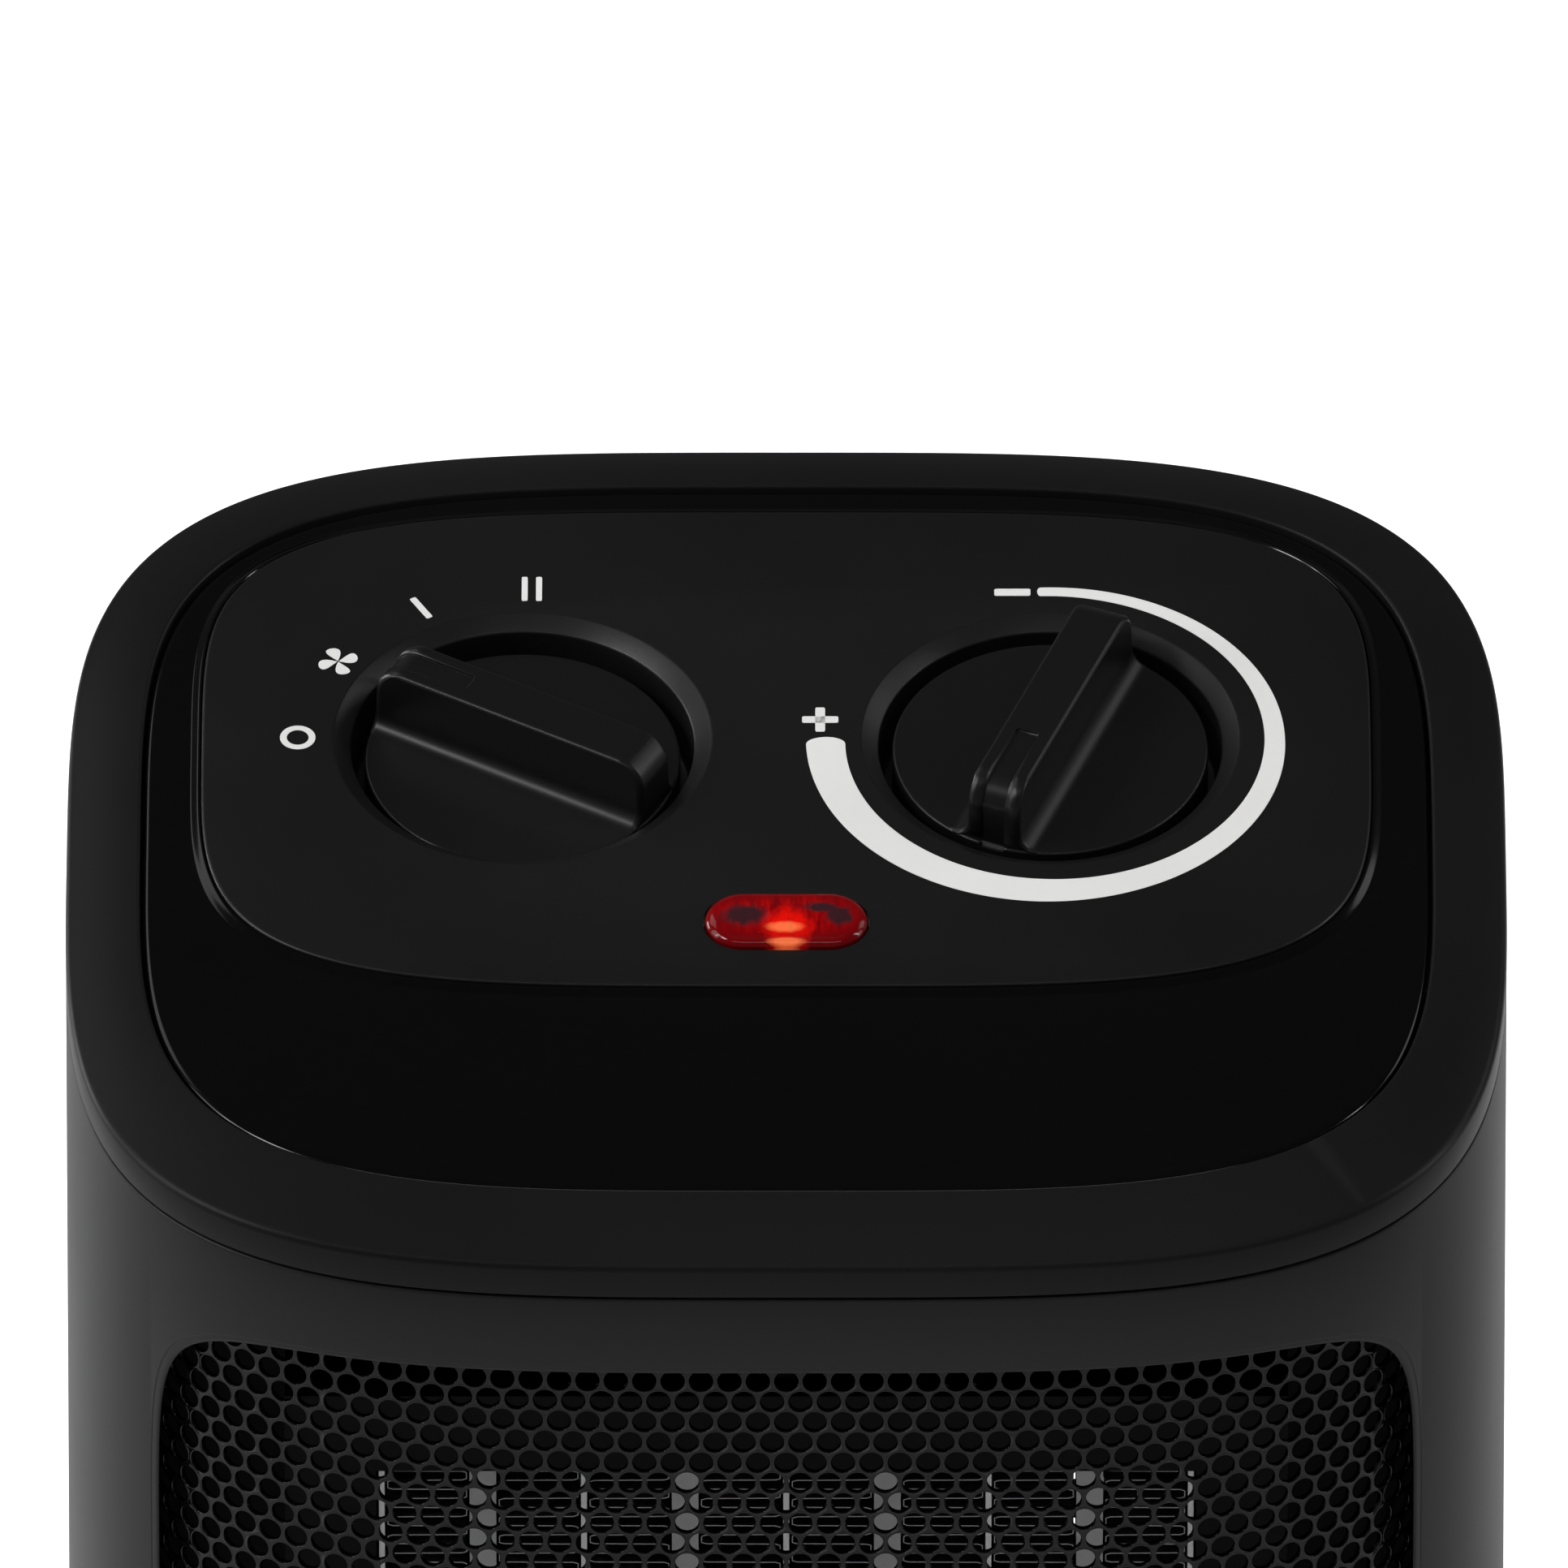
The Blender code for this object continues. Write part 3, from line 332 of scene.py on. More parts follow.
def joined(name: str, pieces: Sequence[Piece], weld: bool = True) -> Piece:
    """Put several pieces' meshes into one piece.

    Args:
        name: The new piece's name.
        pieces: The pieces, which are removed.
        weld: Whether points in the same place become one.

    Returns:
        The new piece.
    """
    bm = bmesh.new()
    for piece in pieces:
        bm.from_mesh(piece.data)
        drop(piece)
    if weld:
        bmesh.ops.remove_doubles(bm, verts=bm.verts, dist=WELD)
    return from_bmesh(name, bm)


def drop(piece: Piece) -> None:
    """Remove a piece and its mesh.

    Args:
        piece: The piece.
    """
    mesh = piece.data
    bpy.data.objects.remove(piece, do_unlink=True)
    bpy.data.meshes.remove(mesh)


def shaped(piece: Piece, tools: Sequence[Piece], add: bool = False) -> Piece:
    """Cut pieces out of a piece, or add them to it, and keep the result as its mesh.

    Args:
        piece: The piece that changes.
        tools: The pieces that cut it or are added, which are removed.
        add: Whether they are added.

    Returns:
        The changed piece.
    """
    for tool in tools:
        modifier = piece.modifiers.new("Shape", "BOOLEAN")
        modifier.operation = "UNION" if add else "DIFFERENCE"
        modifier.solver = "EXACT"
        modifier.object = tool
    return settled(piece, tools)


def settled(piece: Piece, tools: Sequence[Piece] = ()) -> Piece:
    """Apply a piece's modifiers and remove the tools that they used.

    Args:
        piece: The piece that changes.
        tools: The tools, which are removed.

    Returns:
        The changed piece.
    """
    bpy.context.view_layer.update()
    graph = bpy.context.evaluated_depsgraph_get()
    mesh = bpy.data.meshes.new_from_object(piece.evaluated_get(graph))
    piece.modifiers.clear()
    old = piece.data
    piece.data = mesh
    bpy.data.meshes.remove(old)
    for tool in tools:
        drop(tool)
    crease(piece)
    return piece


def levelled(piece: Piece) -> Piece:
    """Shade large flat faces as flat, and only their rounded borders as round.

    Args:
        piece: The piece that changes.

    Returns:
        The changed piece.
    """
    level = piece.modifiers.new("Level", "WEIGHTED_NORMAL")
    level.mode = "FACE_AREA"
    level.keep_sharp = True
    return settled(piece)


# Finishes


class Grain(Enum):
    """The fine pattern that a surface has."""

    SPARK = "spark-eroded mould texture"
    PEEL = "the slow waves of a thick glossy coat"
    BRUSHED = "lines drawn along one axis"
    CAST = "coarse pits and flow marks"
    WOUND = "turns of wire"


NOISE_DETAIL = {Grain.CAST: 8.0, Grain.PEEL: 1.0, Grain.SPARK: 3.0, Grain.BRUSHED: 3.0}
BROAD_SIZE = 60 * MM
FINE_SHARE = 0.35
TONE_RANGE = (0.45, 0.9)
GLOSS_RANGE = (0.4, 0.95)
EDGE_RANGE = (0.52, 0.62)
EDGE_LIFT = 0.004
COAT_ROUGHNESS = 0.06
WIRE_TURN = 6.3
WIRE_WARP = 0.4


@dataclass(frozen=True)
class Finish:
    """A surface with its tone, gloss, grain and lightened edges, which stand for wear and, on the
    enamel grille, are a painted highlight.

    Attributes:
        slot: The record's material slot, and the finish's name.
        tone: Linear colour.
        roughness: Middle roughness.
        spread: How far the roughness varies to either side.
        metallic: 1.0 for bare metal.
        specular: Reflection straight on, where 0.5 is ordinary plastic.
        grain: The fine pattern.
        size: Size of the grain.
        depth: Height of the grain.
        uneven: How far the tone varies over the surface.
        wear_and_sheen: How much lighter the edges are, as wear and, on the enamel grille, as a
            painted highlight on the hole rims.
        coat: Strength of a clear coat.
        edge: Radius that sharp edges are shaded with.
        stretch: How the grain is squeezed along each axis.
        variant: Tells apart two finishes of one slot.
    """

    slot: str
    tone: Colour
    roughness: float
    spread: float = 0.05
    metallic: float = 0.0
    specular: float = 0.5
    grain: Grain = Grain.SPARK
    size: float = 0.25 * MM
    depth: float = 0.01 * MM
    uneven: float = 0.15
    wear_and_sheen: float = 0.3
    coat: float = 0.0
    edge: float = 0.0
    stretch: tuple[float, float, float] = (1.0, 1.0, 1.0)
    variant: str = ""

    def build(self) -> bpy.types.Material:
        """Make the material, or find it if it is made already.

        Returns:
            The material.
        """
        name = self.slot + self.variant + "_finish"
        known = bpy.data.materials.get(name)
        if known:
            return known
        made = bpy.data.materials.new(name)
        made.use_nodes = True
        made.diffuse_color = (*self.tone, 1.0)
        self.wire(Graph(made.node_tree))
        return made

    def wire(self, graph: Graph) -> None:
        """Wire the nodes of the whole finish.

        Args:
            graph: The material's nodes.
        """
        shader = graph.shader
        shader.inputs["Metallic"].default_value = self.metallic
        shader.inputs["Specular IOR Level"].default_value = self.specular
        shader.inputs["Coat Weight"].default_value = self.coat
        shader.inputs["Coat Roughness"].default_value = COAT_ROUGHNESS
        place = graph.place(self.stretch)
        fine = self.pattern(graph, place)
        broad = graph.noise(place, 1 / BROAD_SIZE, 4.0)
        mixed = graph.math("ADD", broad, fine, FINE_SHARE)
        dark = tuple(v * (1 - self.uneven) for v in self.tone)
        light = tuple(min(v * (1 + self.uneven), 1.0) for v in self.tone)
        colour = graph.mix(graph.ranged(mixed, TONE_RANGE, (0.0, 1.0)), dark, light)
        # Convex edges are painted lighter: wear, and on the enamel grille a painted highlight on the
        # rims of the holes.
        if self.wear_and_sheen:
            wear_and_sheen_colour = tuple(min(v * (1 + 2 * self.wear_and_sheen) + EDGE_LIFT * self.wear_and_sheen, 1.0) for v in self.tone)
            edges = graph.ranged(graph.pointiness(), EDGE_RANGE, (0.0, 1.0))
            colour = graph.mix(graph.math("MULTIPLY", edges, broad), colour, wear_and_sheen_colour)
        graph.link(colour, shader.inputs["Base Color"])
        low, high = self.roughness - self.spread, self.roughness + self.spread
        graph.link(graph.ranged(mixed, GLOSS_RANGE, (low, high)), shader.inputs["Roughness"])
        graph.link(graph.bump(fine, self.depth, self.edge), shader.inputs["Normal"])

    def pattern(self, graph: Graph, place: Socket) -> Socket:
        """Wire the grain, from 0 to 1.

        Args:
            graph: The material's nodes.
            place: The point on the surface.

        Returns:
            The socket with the grain.
        """
        if self.grain is Grain.WOUND:
            return graph.wave(place, 1 / (self.size * WIRE_TURN), WIRE_WARP)
        return graph.noise(place, 1 / self.size, NOISE_DETAIL[self.grain])


@dataclass
class Graph:
    """A short way to wire a material's nodes."""

    tree: bpy.types.NodeTree

    @property
    def shader(self) -> bpy.types.Node:
        """The material's main shader."""
        return self.tree.nodes["Principled BSDF"]

    def node(self, kind: str, **settings) -> bpy.types.Node:
        """Add a node and set its own fields.

        Args:
            kind: The node's type.
            **settings: Its own fields.

        Returns:
            The new node.
        """
        made = self.tree.nodes.new(kind)
        for name, value in settings.items():
            setattr(made, name, value)
        return made

    def link(self, start: Socket, end: Socket) -> None:
        """Join two sockets."""
        self.tree.links.new(start, end)

    def feed(self, socket: Socket, value: Fed) -> None:
        """Link a socket, or set it from a number or a colour.

        Args:
            socket: The socket that is fed.
            value: Another socket, a number or a colour.
        """
        if isinstance(value, bpy.types.NodeSocket):
            self.link(value, socket)
        elif isinstance(value, tuple):
            socket.default_value = (*value, 1.0)
        else:
            socket.default_value = value

    def place(self, stretch: tuple[float, float, float]) -> Socket:
        """The point on the surface, squeezed along each axis.

        Args:
            stretch: How the point is squeezed along each axis.

        Returns:
            The socket with the point.
        """
        coordinate = self.node("ShaderNodeTexCoord")
        mapping = self.node("ShaderNodeMapping")
        mapping.inputs["Scale"].default_value = stretch
        self.link(coordinate.outputs["Object"], mapping.inputs["Vector"])
        return mapping.outputs["Vector"]

    def noise(self, place: Socket, scale: float, detail: float, warp: float = 0.0) -> Socket:
        """Soft noise of a scale, from 0 to 1.

        Args:
            place: The point.
            scale: How many waves there are in a metre.
            detail: How many finer layers it has.
            warp: How far it is distorted.

        Returns:
            The socket with the noise.
        """
        made = self.node("ShaderNodeTexNoise")
        made.inputs["Scale"].default_value = scale
        made.inputs["Detail"].default_value = detail
        made.inputs["Distortion"].default_value = warp
        self.link(place, made.inputs["Vector"])
        return made.outputs["Fac"]

    def wave(self, place: Socket, scale: float, warp: float) -> Socket:
        """Regular bands, from 0 to 1.

        Args:
            place: The point.
            scale: How close the bands are.
            warp: How far they are distorted.

        Returns:
            The socket with the bands.
        """
        made = self.node("ShaderNodeTexWave")
        made.inputs["Scale"].default_value = scale
        made.inputs["Distortion"].default_value = warp
        self.link(place, made.inputs["Vector"])
        return made.outputs["Fac"]

    def math(self, operation: str, first: Fed, second: Fed, gain: float = 1.0) -> Socket:
        """Do sums on two values, the second times a gain for ADD.

        Args:
            operation: The sum's name.
            first: The first value.
            second: The second value.
            gain: What the second value is multiplied by.

        Returns:
            The socket with the result.
        """
        if operation == "ADD" and gain != 1.0:
            second = self.math("MULTIPLY", second, gain)
        made = self.node("ShaderNodeMath", operation=operation)
        self.feed(made.inputs[0], first)
        self.feed(made.inputs[1], second)
        return made.outputs[0]

    def ranged(self, value: Socket, taken: Pair, given: Pair) -> Socket:
        """Stretch one range of a value to another.

        Args:
            value: The value.
            taken: The range that it has.
            given: The range that it gets.

        Returns:
            The socket with the result.
        """
        made = self.node("ShaderNodeMapRange")
        self.link(value, made.inputs["Value"])
        made.inputs["From Min"].default_value, made.inputs["From Max"].default_value = taken
        made.inputs["To Min"].default_value, made.inputs["To Max"].default_value = given
        return made.outputs["Result"]

    def mix(self, share: Fed, first: Fed, second: Fed) -> Socket:
        """Blend two colours by a share.

        Args:
            share: How much of the second colour there is.
            first: The first colour.
            second: The second colour.

        Returns:
            The socket with the colour.
        """
        made = self.node("ShaderNodeMix", data_type="RGBA")
        self.feed(made.inputs["Factor"], share)
        self.feed(made.inputs[6], first)
        self.feed(made.inputs[7], second)
        return made.outputs[2]

    def pointiness(self) -> Socket:
        """How far a point stands out, 0.5 being flat."""
        return self.node("ShaderNodeNewGeometry").outputs["Pointiness"]

    def bump(self, height: Socket, depth: float, edge: float = 0.0) -> Socket:
        """Turn a height into a surface direction, over rounded edges if they have a radius.

        Args:
            height: The height, from 0 to 1.
            depth: The height in metres that 1 stands for.
            edge: Radius of the rounded edges.

        Returns:
            The socket with the direction.
        """
        made = self.node("ShaderNodeBump")
        made.inputs["Strength"].default_value = 1.0
        made.inputs["Distance"].default_value = depth
        self.link(height, made.inputs["Height"])
        if edge:
            rounding = self.node("ShaderNodeBevel", samples=4)
            rounding.inputs["Radius"].default_value = edge
            self.link(rounding.outputs["Normal"], made.inputs["Normal"])
        return made.outputs["Normal"]


@dataclass(frozen=True)
class Spot:
    """A soft oval place on the lamp, from the lens's middle.

    Attributes:
        middle: Its middle along X and Y.
        half: Its half size along X and Y.
        ragged: How far its edge wanders.
    """

    middle: Pair
    half: Pair
    ragged: float = 1.1


@dataclass(frozen=True)
class LampGlass(Finish):
    """Clear red plastic with a fluted reflector painted into its colour, with painted shade in the
    reflector's unlit hollows, lit from under its front edge.

    Attributes:
        middle: Middle of the lens.
        field: The brighter red inside the rim.
        dark: Colour of the painted shade in the unlit hollows.
        glow: Colour of the lit spots.
        warm: Colour of the plastic round them.
        power: Strength of the light from inside.
        inside: The place inside the rim.
        shaded_hollows: Where the painted shade of the unlit hollows lies.
        halo: The place where the plastic glows warm.
        lit: The lit spots.
        soft: How wide a spot's edge is, against its half size.
    """

    middle: tuple[float, float, float] = (0.0, -17.6 * MM, 224.7 * MM)
    field: Colour = (0.38, 0.001, 0.001)
    dark: Colour = (0.036, 0.010, 0.014)
    glow: Colour = (1.0, 0.22, 0.07)
    warm: Colour = (0.55, 0.004, 0.0)
    power: float = 0.75
    inside: Spot = Spot((0.0, 0.0), (10.6 * MM, 4.2 * MM), 0.1)
    shaded_hollows: tuple[Spot, ...] = (
        Spot((-5.6 * MM, -0.3 * MM), (3.4 * MM, 2.3 * MM)),
        Spot((4.6 * MM, 1.2 * MM), (2.6 * MM, 1.2 * MM)),
        Spot((7.0 * MM, -0.4 * MM), (2.0 * MM, 2.0 * MM)),
    )
    halo: Spot = Spot((0.2 * MM, -2.4 * MM), (3.6 * MM, 3.6 * MM), 0.9)
    lit: tuple[Spot, ...] = (
        Spot((-0.2 * MM, -2.5 * MM), (2.6 * MM, 1.0 * MM), 0.5),
        Spot((0.0, -4.7 * MM), (2.7 * MM, 0.5 * MM), 0.2),
    )
    soft: float = 0.55

    def spot(self, graph: Graph, place: Socket, spot: Spot, rough: Socket) -> Socket:
        """Wire a soft ragged spot, 1 inside it and 0 outside.

        Args:
            graph: The material's nodes.
            place: The point, from the lens's middle.
            spot: The spot's middle, size and edge.
            rough: Noise that breaks its edge.

        Returns:
            The socket with the spot's strength.
        """
        (x, y), (wide, tall) = spot.middle, spot.half
        mapping = graph.node("ShaderNodeMapping")
        mapping.inputs["Location"].default_value = (-x / wide, -y / tall, 0.0)
        mapping.inputs["Scale"].default_value = (1 / wide, 1 / tall, 0.0)
        graph.link(place, mapping.inputs["Vector"])
        length = graph.node("ShaderNodeVectorMath", operation="LENGTH")
        graph.link(mapping.outputs["Vector"], length.inputs[0])
        ragged = graph.math("MULTIPLY", rough, spot.ragged)
        away = graph.math("ADD", length.outputs["Value"], ragged)
        near = self.soft + spot.ragged / 2
        return graph.ranged(away, (near, near + self.soft), (1.0, 0.0))

    def wire(self, graph: Graph) -> None:
        """Wire the rim, the painted shade of the hollows, the flutes and the lit spots.

        Args:
            graph: The material's nodes.
        """
        super().wire(graph)
        shader = graph.shader
        coordinate = graph.node("ShaderNodeTexCoord")
        centred = graph.node("ShaderNodeMapping")
        centred.inputs["Location"].default_value = tuple(-v for v in self.middle)
        graph.link(coordinate.outputs["Object"], centred.inputs["Vector"])
        place = centred.outputs["Vector"]
        flutes = graph.noise(graph.place((1.0, 0.22, 0.22)), 1 / (0.9 * MM), 4.0, 0.6)
        ragged = graph.noise(graph.place((1.0, 0.7, 0.7)), 1 / (1.3 * MM), 6.0, 0.9)
        bright = graph.mix(graph.ranged(flutes, (0.34, 0.62), (0.0, 1.0)), self.tone, self.field)
        colour = graph.mix(self.spot(graph, place, self.inside, ragged), self.tone, bright)
        # Painted shade: the unlit hollows are darkened in the base colour.
        for hollow in self.shaded_hollows:
            colour = graph.mix(self.spot(graph, place, hollow, ragged), colour, self.dark)
        halo = self.spot(graph, place, self.halo, ragged)
        shone = graph.mix(halo, (0.0, 0.0, 0.0), self.warm)
        for lit in self.lit:
            shone = graph.mix(self.spot(graph, place, lit, flutes), shone, self.glow)
        graph.link(colour, shader.inputs["Base Color"])
        graph.link(shone, shader.inputs["Emission Color"])
        shader.inputs["Emission Strength"].default_value = self.power
        shader.inputs["Coat Roughness"].default_value = 0.02


class Finishes:
    """Every finish of the heater, by its use."""

    body = Finish("body_black", (0.0080, 0.0080, 0.0081), 0.36, specular=0.24, edge=0.25 * MM)
    satin = Finish(
        "satin_black", (0.0060, 0.0060, 0.0061), 0.36, specular=0.34, size=0.22 * MM,
        edge=0.12 * MM,
    )
    rim = Finish(
        "satin_black", (0.0076, 0.0076, 0.0077), 0.36, specular=0.11, size=0.22 * MM,
        edge=0.12 * MM, variant="_rim",
    )
    gloss = Finish(
        "gloss_black", (0.0016, 0.0016, 0.0017), 0.13, 0.03, specular=0.34,
        grain=Grain.PEEL, size=2.0 * MM, depth=0.002 * MM,
    )
    frame = Finish(
        "frame_black", (0.0024, 0.0024, 0.0024), 0.5, specular=0.12,
        grain=Grain.CAST, size=0.8 * MM, edge=0.2 * MM,
    )
    # The enamel's very strong edge lightening paints bright highlights on the rims of the holes.
    enamel = Finish(
        "enamel_black", (0.0016, 0.0016, 0.0017), 0.16, 0.04, specular=0.26,
        grain=Grain.PEEL, size=0.9 * MM, depth=0.006 * MM, wear_and_sheen=9.0,
    )
    lens = LampGlass(
        "red_lens", (0.15, 0.0005, 0.002), 0.14, 0.04, specular=0.1,
        grain=Grain.PEEL, size=1.2 * MM, coat=0.4,
    )
    neon = Finish("clear_glass", (0.85, 0.80, 0.75), 0.08, 0.03, grain=Grain.PEEL, size=1.0 * MM)
    steel = Finish(
        "zinc_steel", (0.42, 0.42, 0.43), 0.34, 0.08, 1.0, grain=Grain.BRUSHED,
        size=0.3 * MM, depth=0.004 * MM, edge=0.15 * MM, stretch=(1.0, 0.05, 1.0),
    )
    aluminium = Finish(
        "aluminium", (0.24, 0.24, 0.245), 0.42, 0.12, 1.0, grain=Grain.CAST,
        size=2.2 * MM, depth=0.02 * MM, uneven=0.45,
    )
    brass = Finish(
        "brass", (0.62, 0.45, 0.18), 0.32, 0.08, 1.0, grain=Grain.BRUSHED, edge=0.15 * MM,
    )
    copper = Finish(
        "copper_wire", (0.60, 0.24, 0.11), 0.30, 0.06, 1.0, grain=Grain.WOUND,
        size=0.5 * MM, depth=0.08 * MM, coat=0.4,
    )
    bakelite = Finish(
        "bakelite", (0.020, 0.016, 0.014), 0.36, 0.06, grain=Grain.CAST, size=0.9 * MM,
        edge=0.3 * MM,
    )
    rubber = Finish("rubber", (0.016, 0.016, 0.016), 0.78, 0.08, grain=Grain.CAST, size=0.5 * MM)
    white = Finish(
        "plunger_white", (0.74, 0.74, 0.73), 0.5, 0.08, size=0.12 * MM, uneven=0.05, wear_and_sheen=0.0,
    )


def finished(
    piece: Piece, finish: Finish, stands_for: Sequence[str] = (), body: str = HOUSING
) -> Piece:
    """Dress a new piece, hide the nodes that it stands for and set what it rides on.

    Args:
        piece: The piece, in its place.
        finish: What its surface is.
        stands_for: The nodes that it replaces.
        body: The body that it moves with.

    Returns:
        The same piece.
    """
    piece.data.materials.clear()
    piece.data.materials.append(finish.build())
    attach(piece, body)
    if stands_for:
        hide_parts(*stands_for)
    LOG.info("%s: %d faces on %s", piece.name, len(piece.data.polygons), body)
    return piece


# The heater


@dataclass(frozen=True)
class Form:
    """The heater's overall form, which every sub-assembly fits."""

    half_x: float = 95.0 * MM
    half_y: float = 80.25 * MM
    power: float = 3.66
    draft: float = 0.0044
    wall: float = 2.6 * MM
    gap: float = 0.3 * MM
    rim_top: float = 226.5 * MM
    slope: float = math.radians(7.7)
    seam_drop: float = 8.1 * MM
    base_z: float = 4.0 * MM
    split_y: float = 44.25 * MM
    rim_in_x: float = 85.2 * MM
    rim_in_y: float = 69.68 * MM
    rim_power: float = 3.8
    window_top: float = 195.45 * MM
    window_bottom: float = 30.0 * MM
    edge: float = 0.35 * MM
    points: int = 384

    @property
    def front_seam_z(self) -> float:
        """Height of the seam at the front."""
        return self.rim_top - self.seam_drop - self.half_y * math.tan(self.slope)

    @property
    def fan_z(self) -> float:
        """Height of the window's middle."""
        return (self.window_top + self.window_bottom) / 2

    @property
    def deck(self) -> Matrix:
        """From the deck's own frame, with Z square to the sloping top, to the whole."""
        return Matrix.Translation((0, 0, self.rim_top)) @ Matrix.Rotation(self.slope, 4, "X")

    def growth(self, z: float | np.ndarray) -> float | np.ndarray:
        """How far the draft has moved the wall out at a height."""
        return self.draft * np.maximum(self.front_seam_z - z, 0.0)

    def outline(self, inset: float, grown: float = 0.0) -> np.ndarray:
        """The body's plan outline, moved in by an inset."""
        half = (self.half_x + grown - inset, self.half_y + grown - inset)
        return superellipse(half, self.power, self.points)

    def level(self, inset: float, z: float) -> np.ndarray:
        """The body's outline at a height."""
        return raised(self.outline(inset, float(self.growth(z))), z)

    def sloped(self, ring: np.ndarray, drop_from_top: float) -> np.ndarray:
        """Raise a plan outline onto the slope, a drop below the rim's top."""
        return raised(ring, self.rim_top - drop_from_top + ring[:, 1] * math.tan(self.slope))

    def rim_inner(self, outset: float) -> np.ndarray:
        """The rim's inner plan outline, moved out."""
        half = (self.rim_in_x + outset, (self.rim_in_y + outset) * math.cos(self.slope))
        return superellipse(half, self.rim_power, self.points)

    def front_y(self, x: np.ndarray, z: np.ndarray, inset: float = 0.0) -> np.ndarray:
        """Where the front wall is, at points across and up it.

        Args:
            x: How far across the points are.
            z: How high they are.
            inset: How far inside the surface.

        Returns:
            Y of each point.
        """
        grown = self.growth(z) - inset
        share = np.abs(x) / (self.half_x + grown)
        return -(self.half_y + grown) * (1 - share**self.power) ** (1 / self.power)

    def wall_rings(self) -> list[np.ndarray]:
        """The closed wall's rings: outside, top edge and inside.

        Returns:
            The rings, in order round the wall's section.
        """
        drop_top = self.seam_drop + self.gap
        edge = self.edge
        corner = self.outline(0.0)
        return [
            self.level(edge, self.base_z),
            self.level(0.0, self.base_z + edge),
            self.sloped(corner, drop_top + edge),
            self.sloped(self.outline(0.3 * edge), drop_top + 0.3 * edge),
            self.sloped(self.outline(edge), drop_top),
            self.sloped(self.outline(self.wall), drop_top),
            self.level(self.wall, self.base_z),
        ]


@dataclass
class BodyShell:
    """The front of the body with its window."""

    form: Form
    window_half_x: float = 82.5 * MM
    window_power: float = 12.0
    lip_round: float = 0.6 * MM
    lip_land: float = 0.4 * MM
    lip_steps: int = 6
    lip_points: int = 480

    def window(self, outset: float) -> np.ndarray:
        """The window's outline seen from the front, moved out.

        Args:
            outset: How far it is moved out.

        Returns:
            The outline, X and Z of each point.
        """
        half_z = (self.form.window_top - self.form.window_bottom) / 2
        half = (self.window_half_x + outset, half_z + outset)
        ring = superellipse(half, self.window_power, FINE_POINTS)
        return even(ring, self.lip_points) + np.array([0.0, self.form.fan_z])

    def lip_ring(self, outset: float, depth: float) -> np.ndarray:
        """One ring of the window's edge, a depth behind the wall's surface.

        Args:
            outset: How far out of the window's outline.
            depth: How far behind the surface.

        Returns:
            The ring's points.
        """
        ring = self.window(outset)
        y = self.form.front_y(ring[:, 0], ring[:, 1]) + depth
        return np.column_stack([ring[:, 0], y, ring[:, 1]])

    def build(self) -> None:
        """Make the wall, cut its window and turn its edge in."""
        form = self.form
        r = self.lip_round
        wall = skin("wall", form.wall_rings(), closed=True)
        hole = self.window(r + self.lip_land)
        flat = [upright(hole, y) for y in (-FAR, 0.0)]
        back = block("back", (-FAR, form.split_y, -FAR), (FAR, FAR, FAR))
        shaped(wall, [back, skin("window", flat)])
        profile = [(r + self.lip_land, 0.0), *arc((r, 0.0), (0.0, 0.0), (0.0, r), self.lip_steps)]
        profile += [(0.0, form.wall), (2 * r, form.wall + form.gap / 3)]
        lip = skin("lip", [self.lip_ring(*step) for step in profile], caps=False)
        finished(joined("front_body", [wall, lip]), Finishes.body, ["body_shell"])


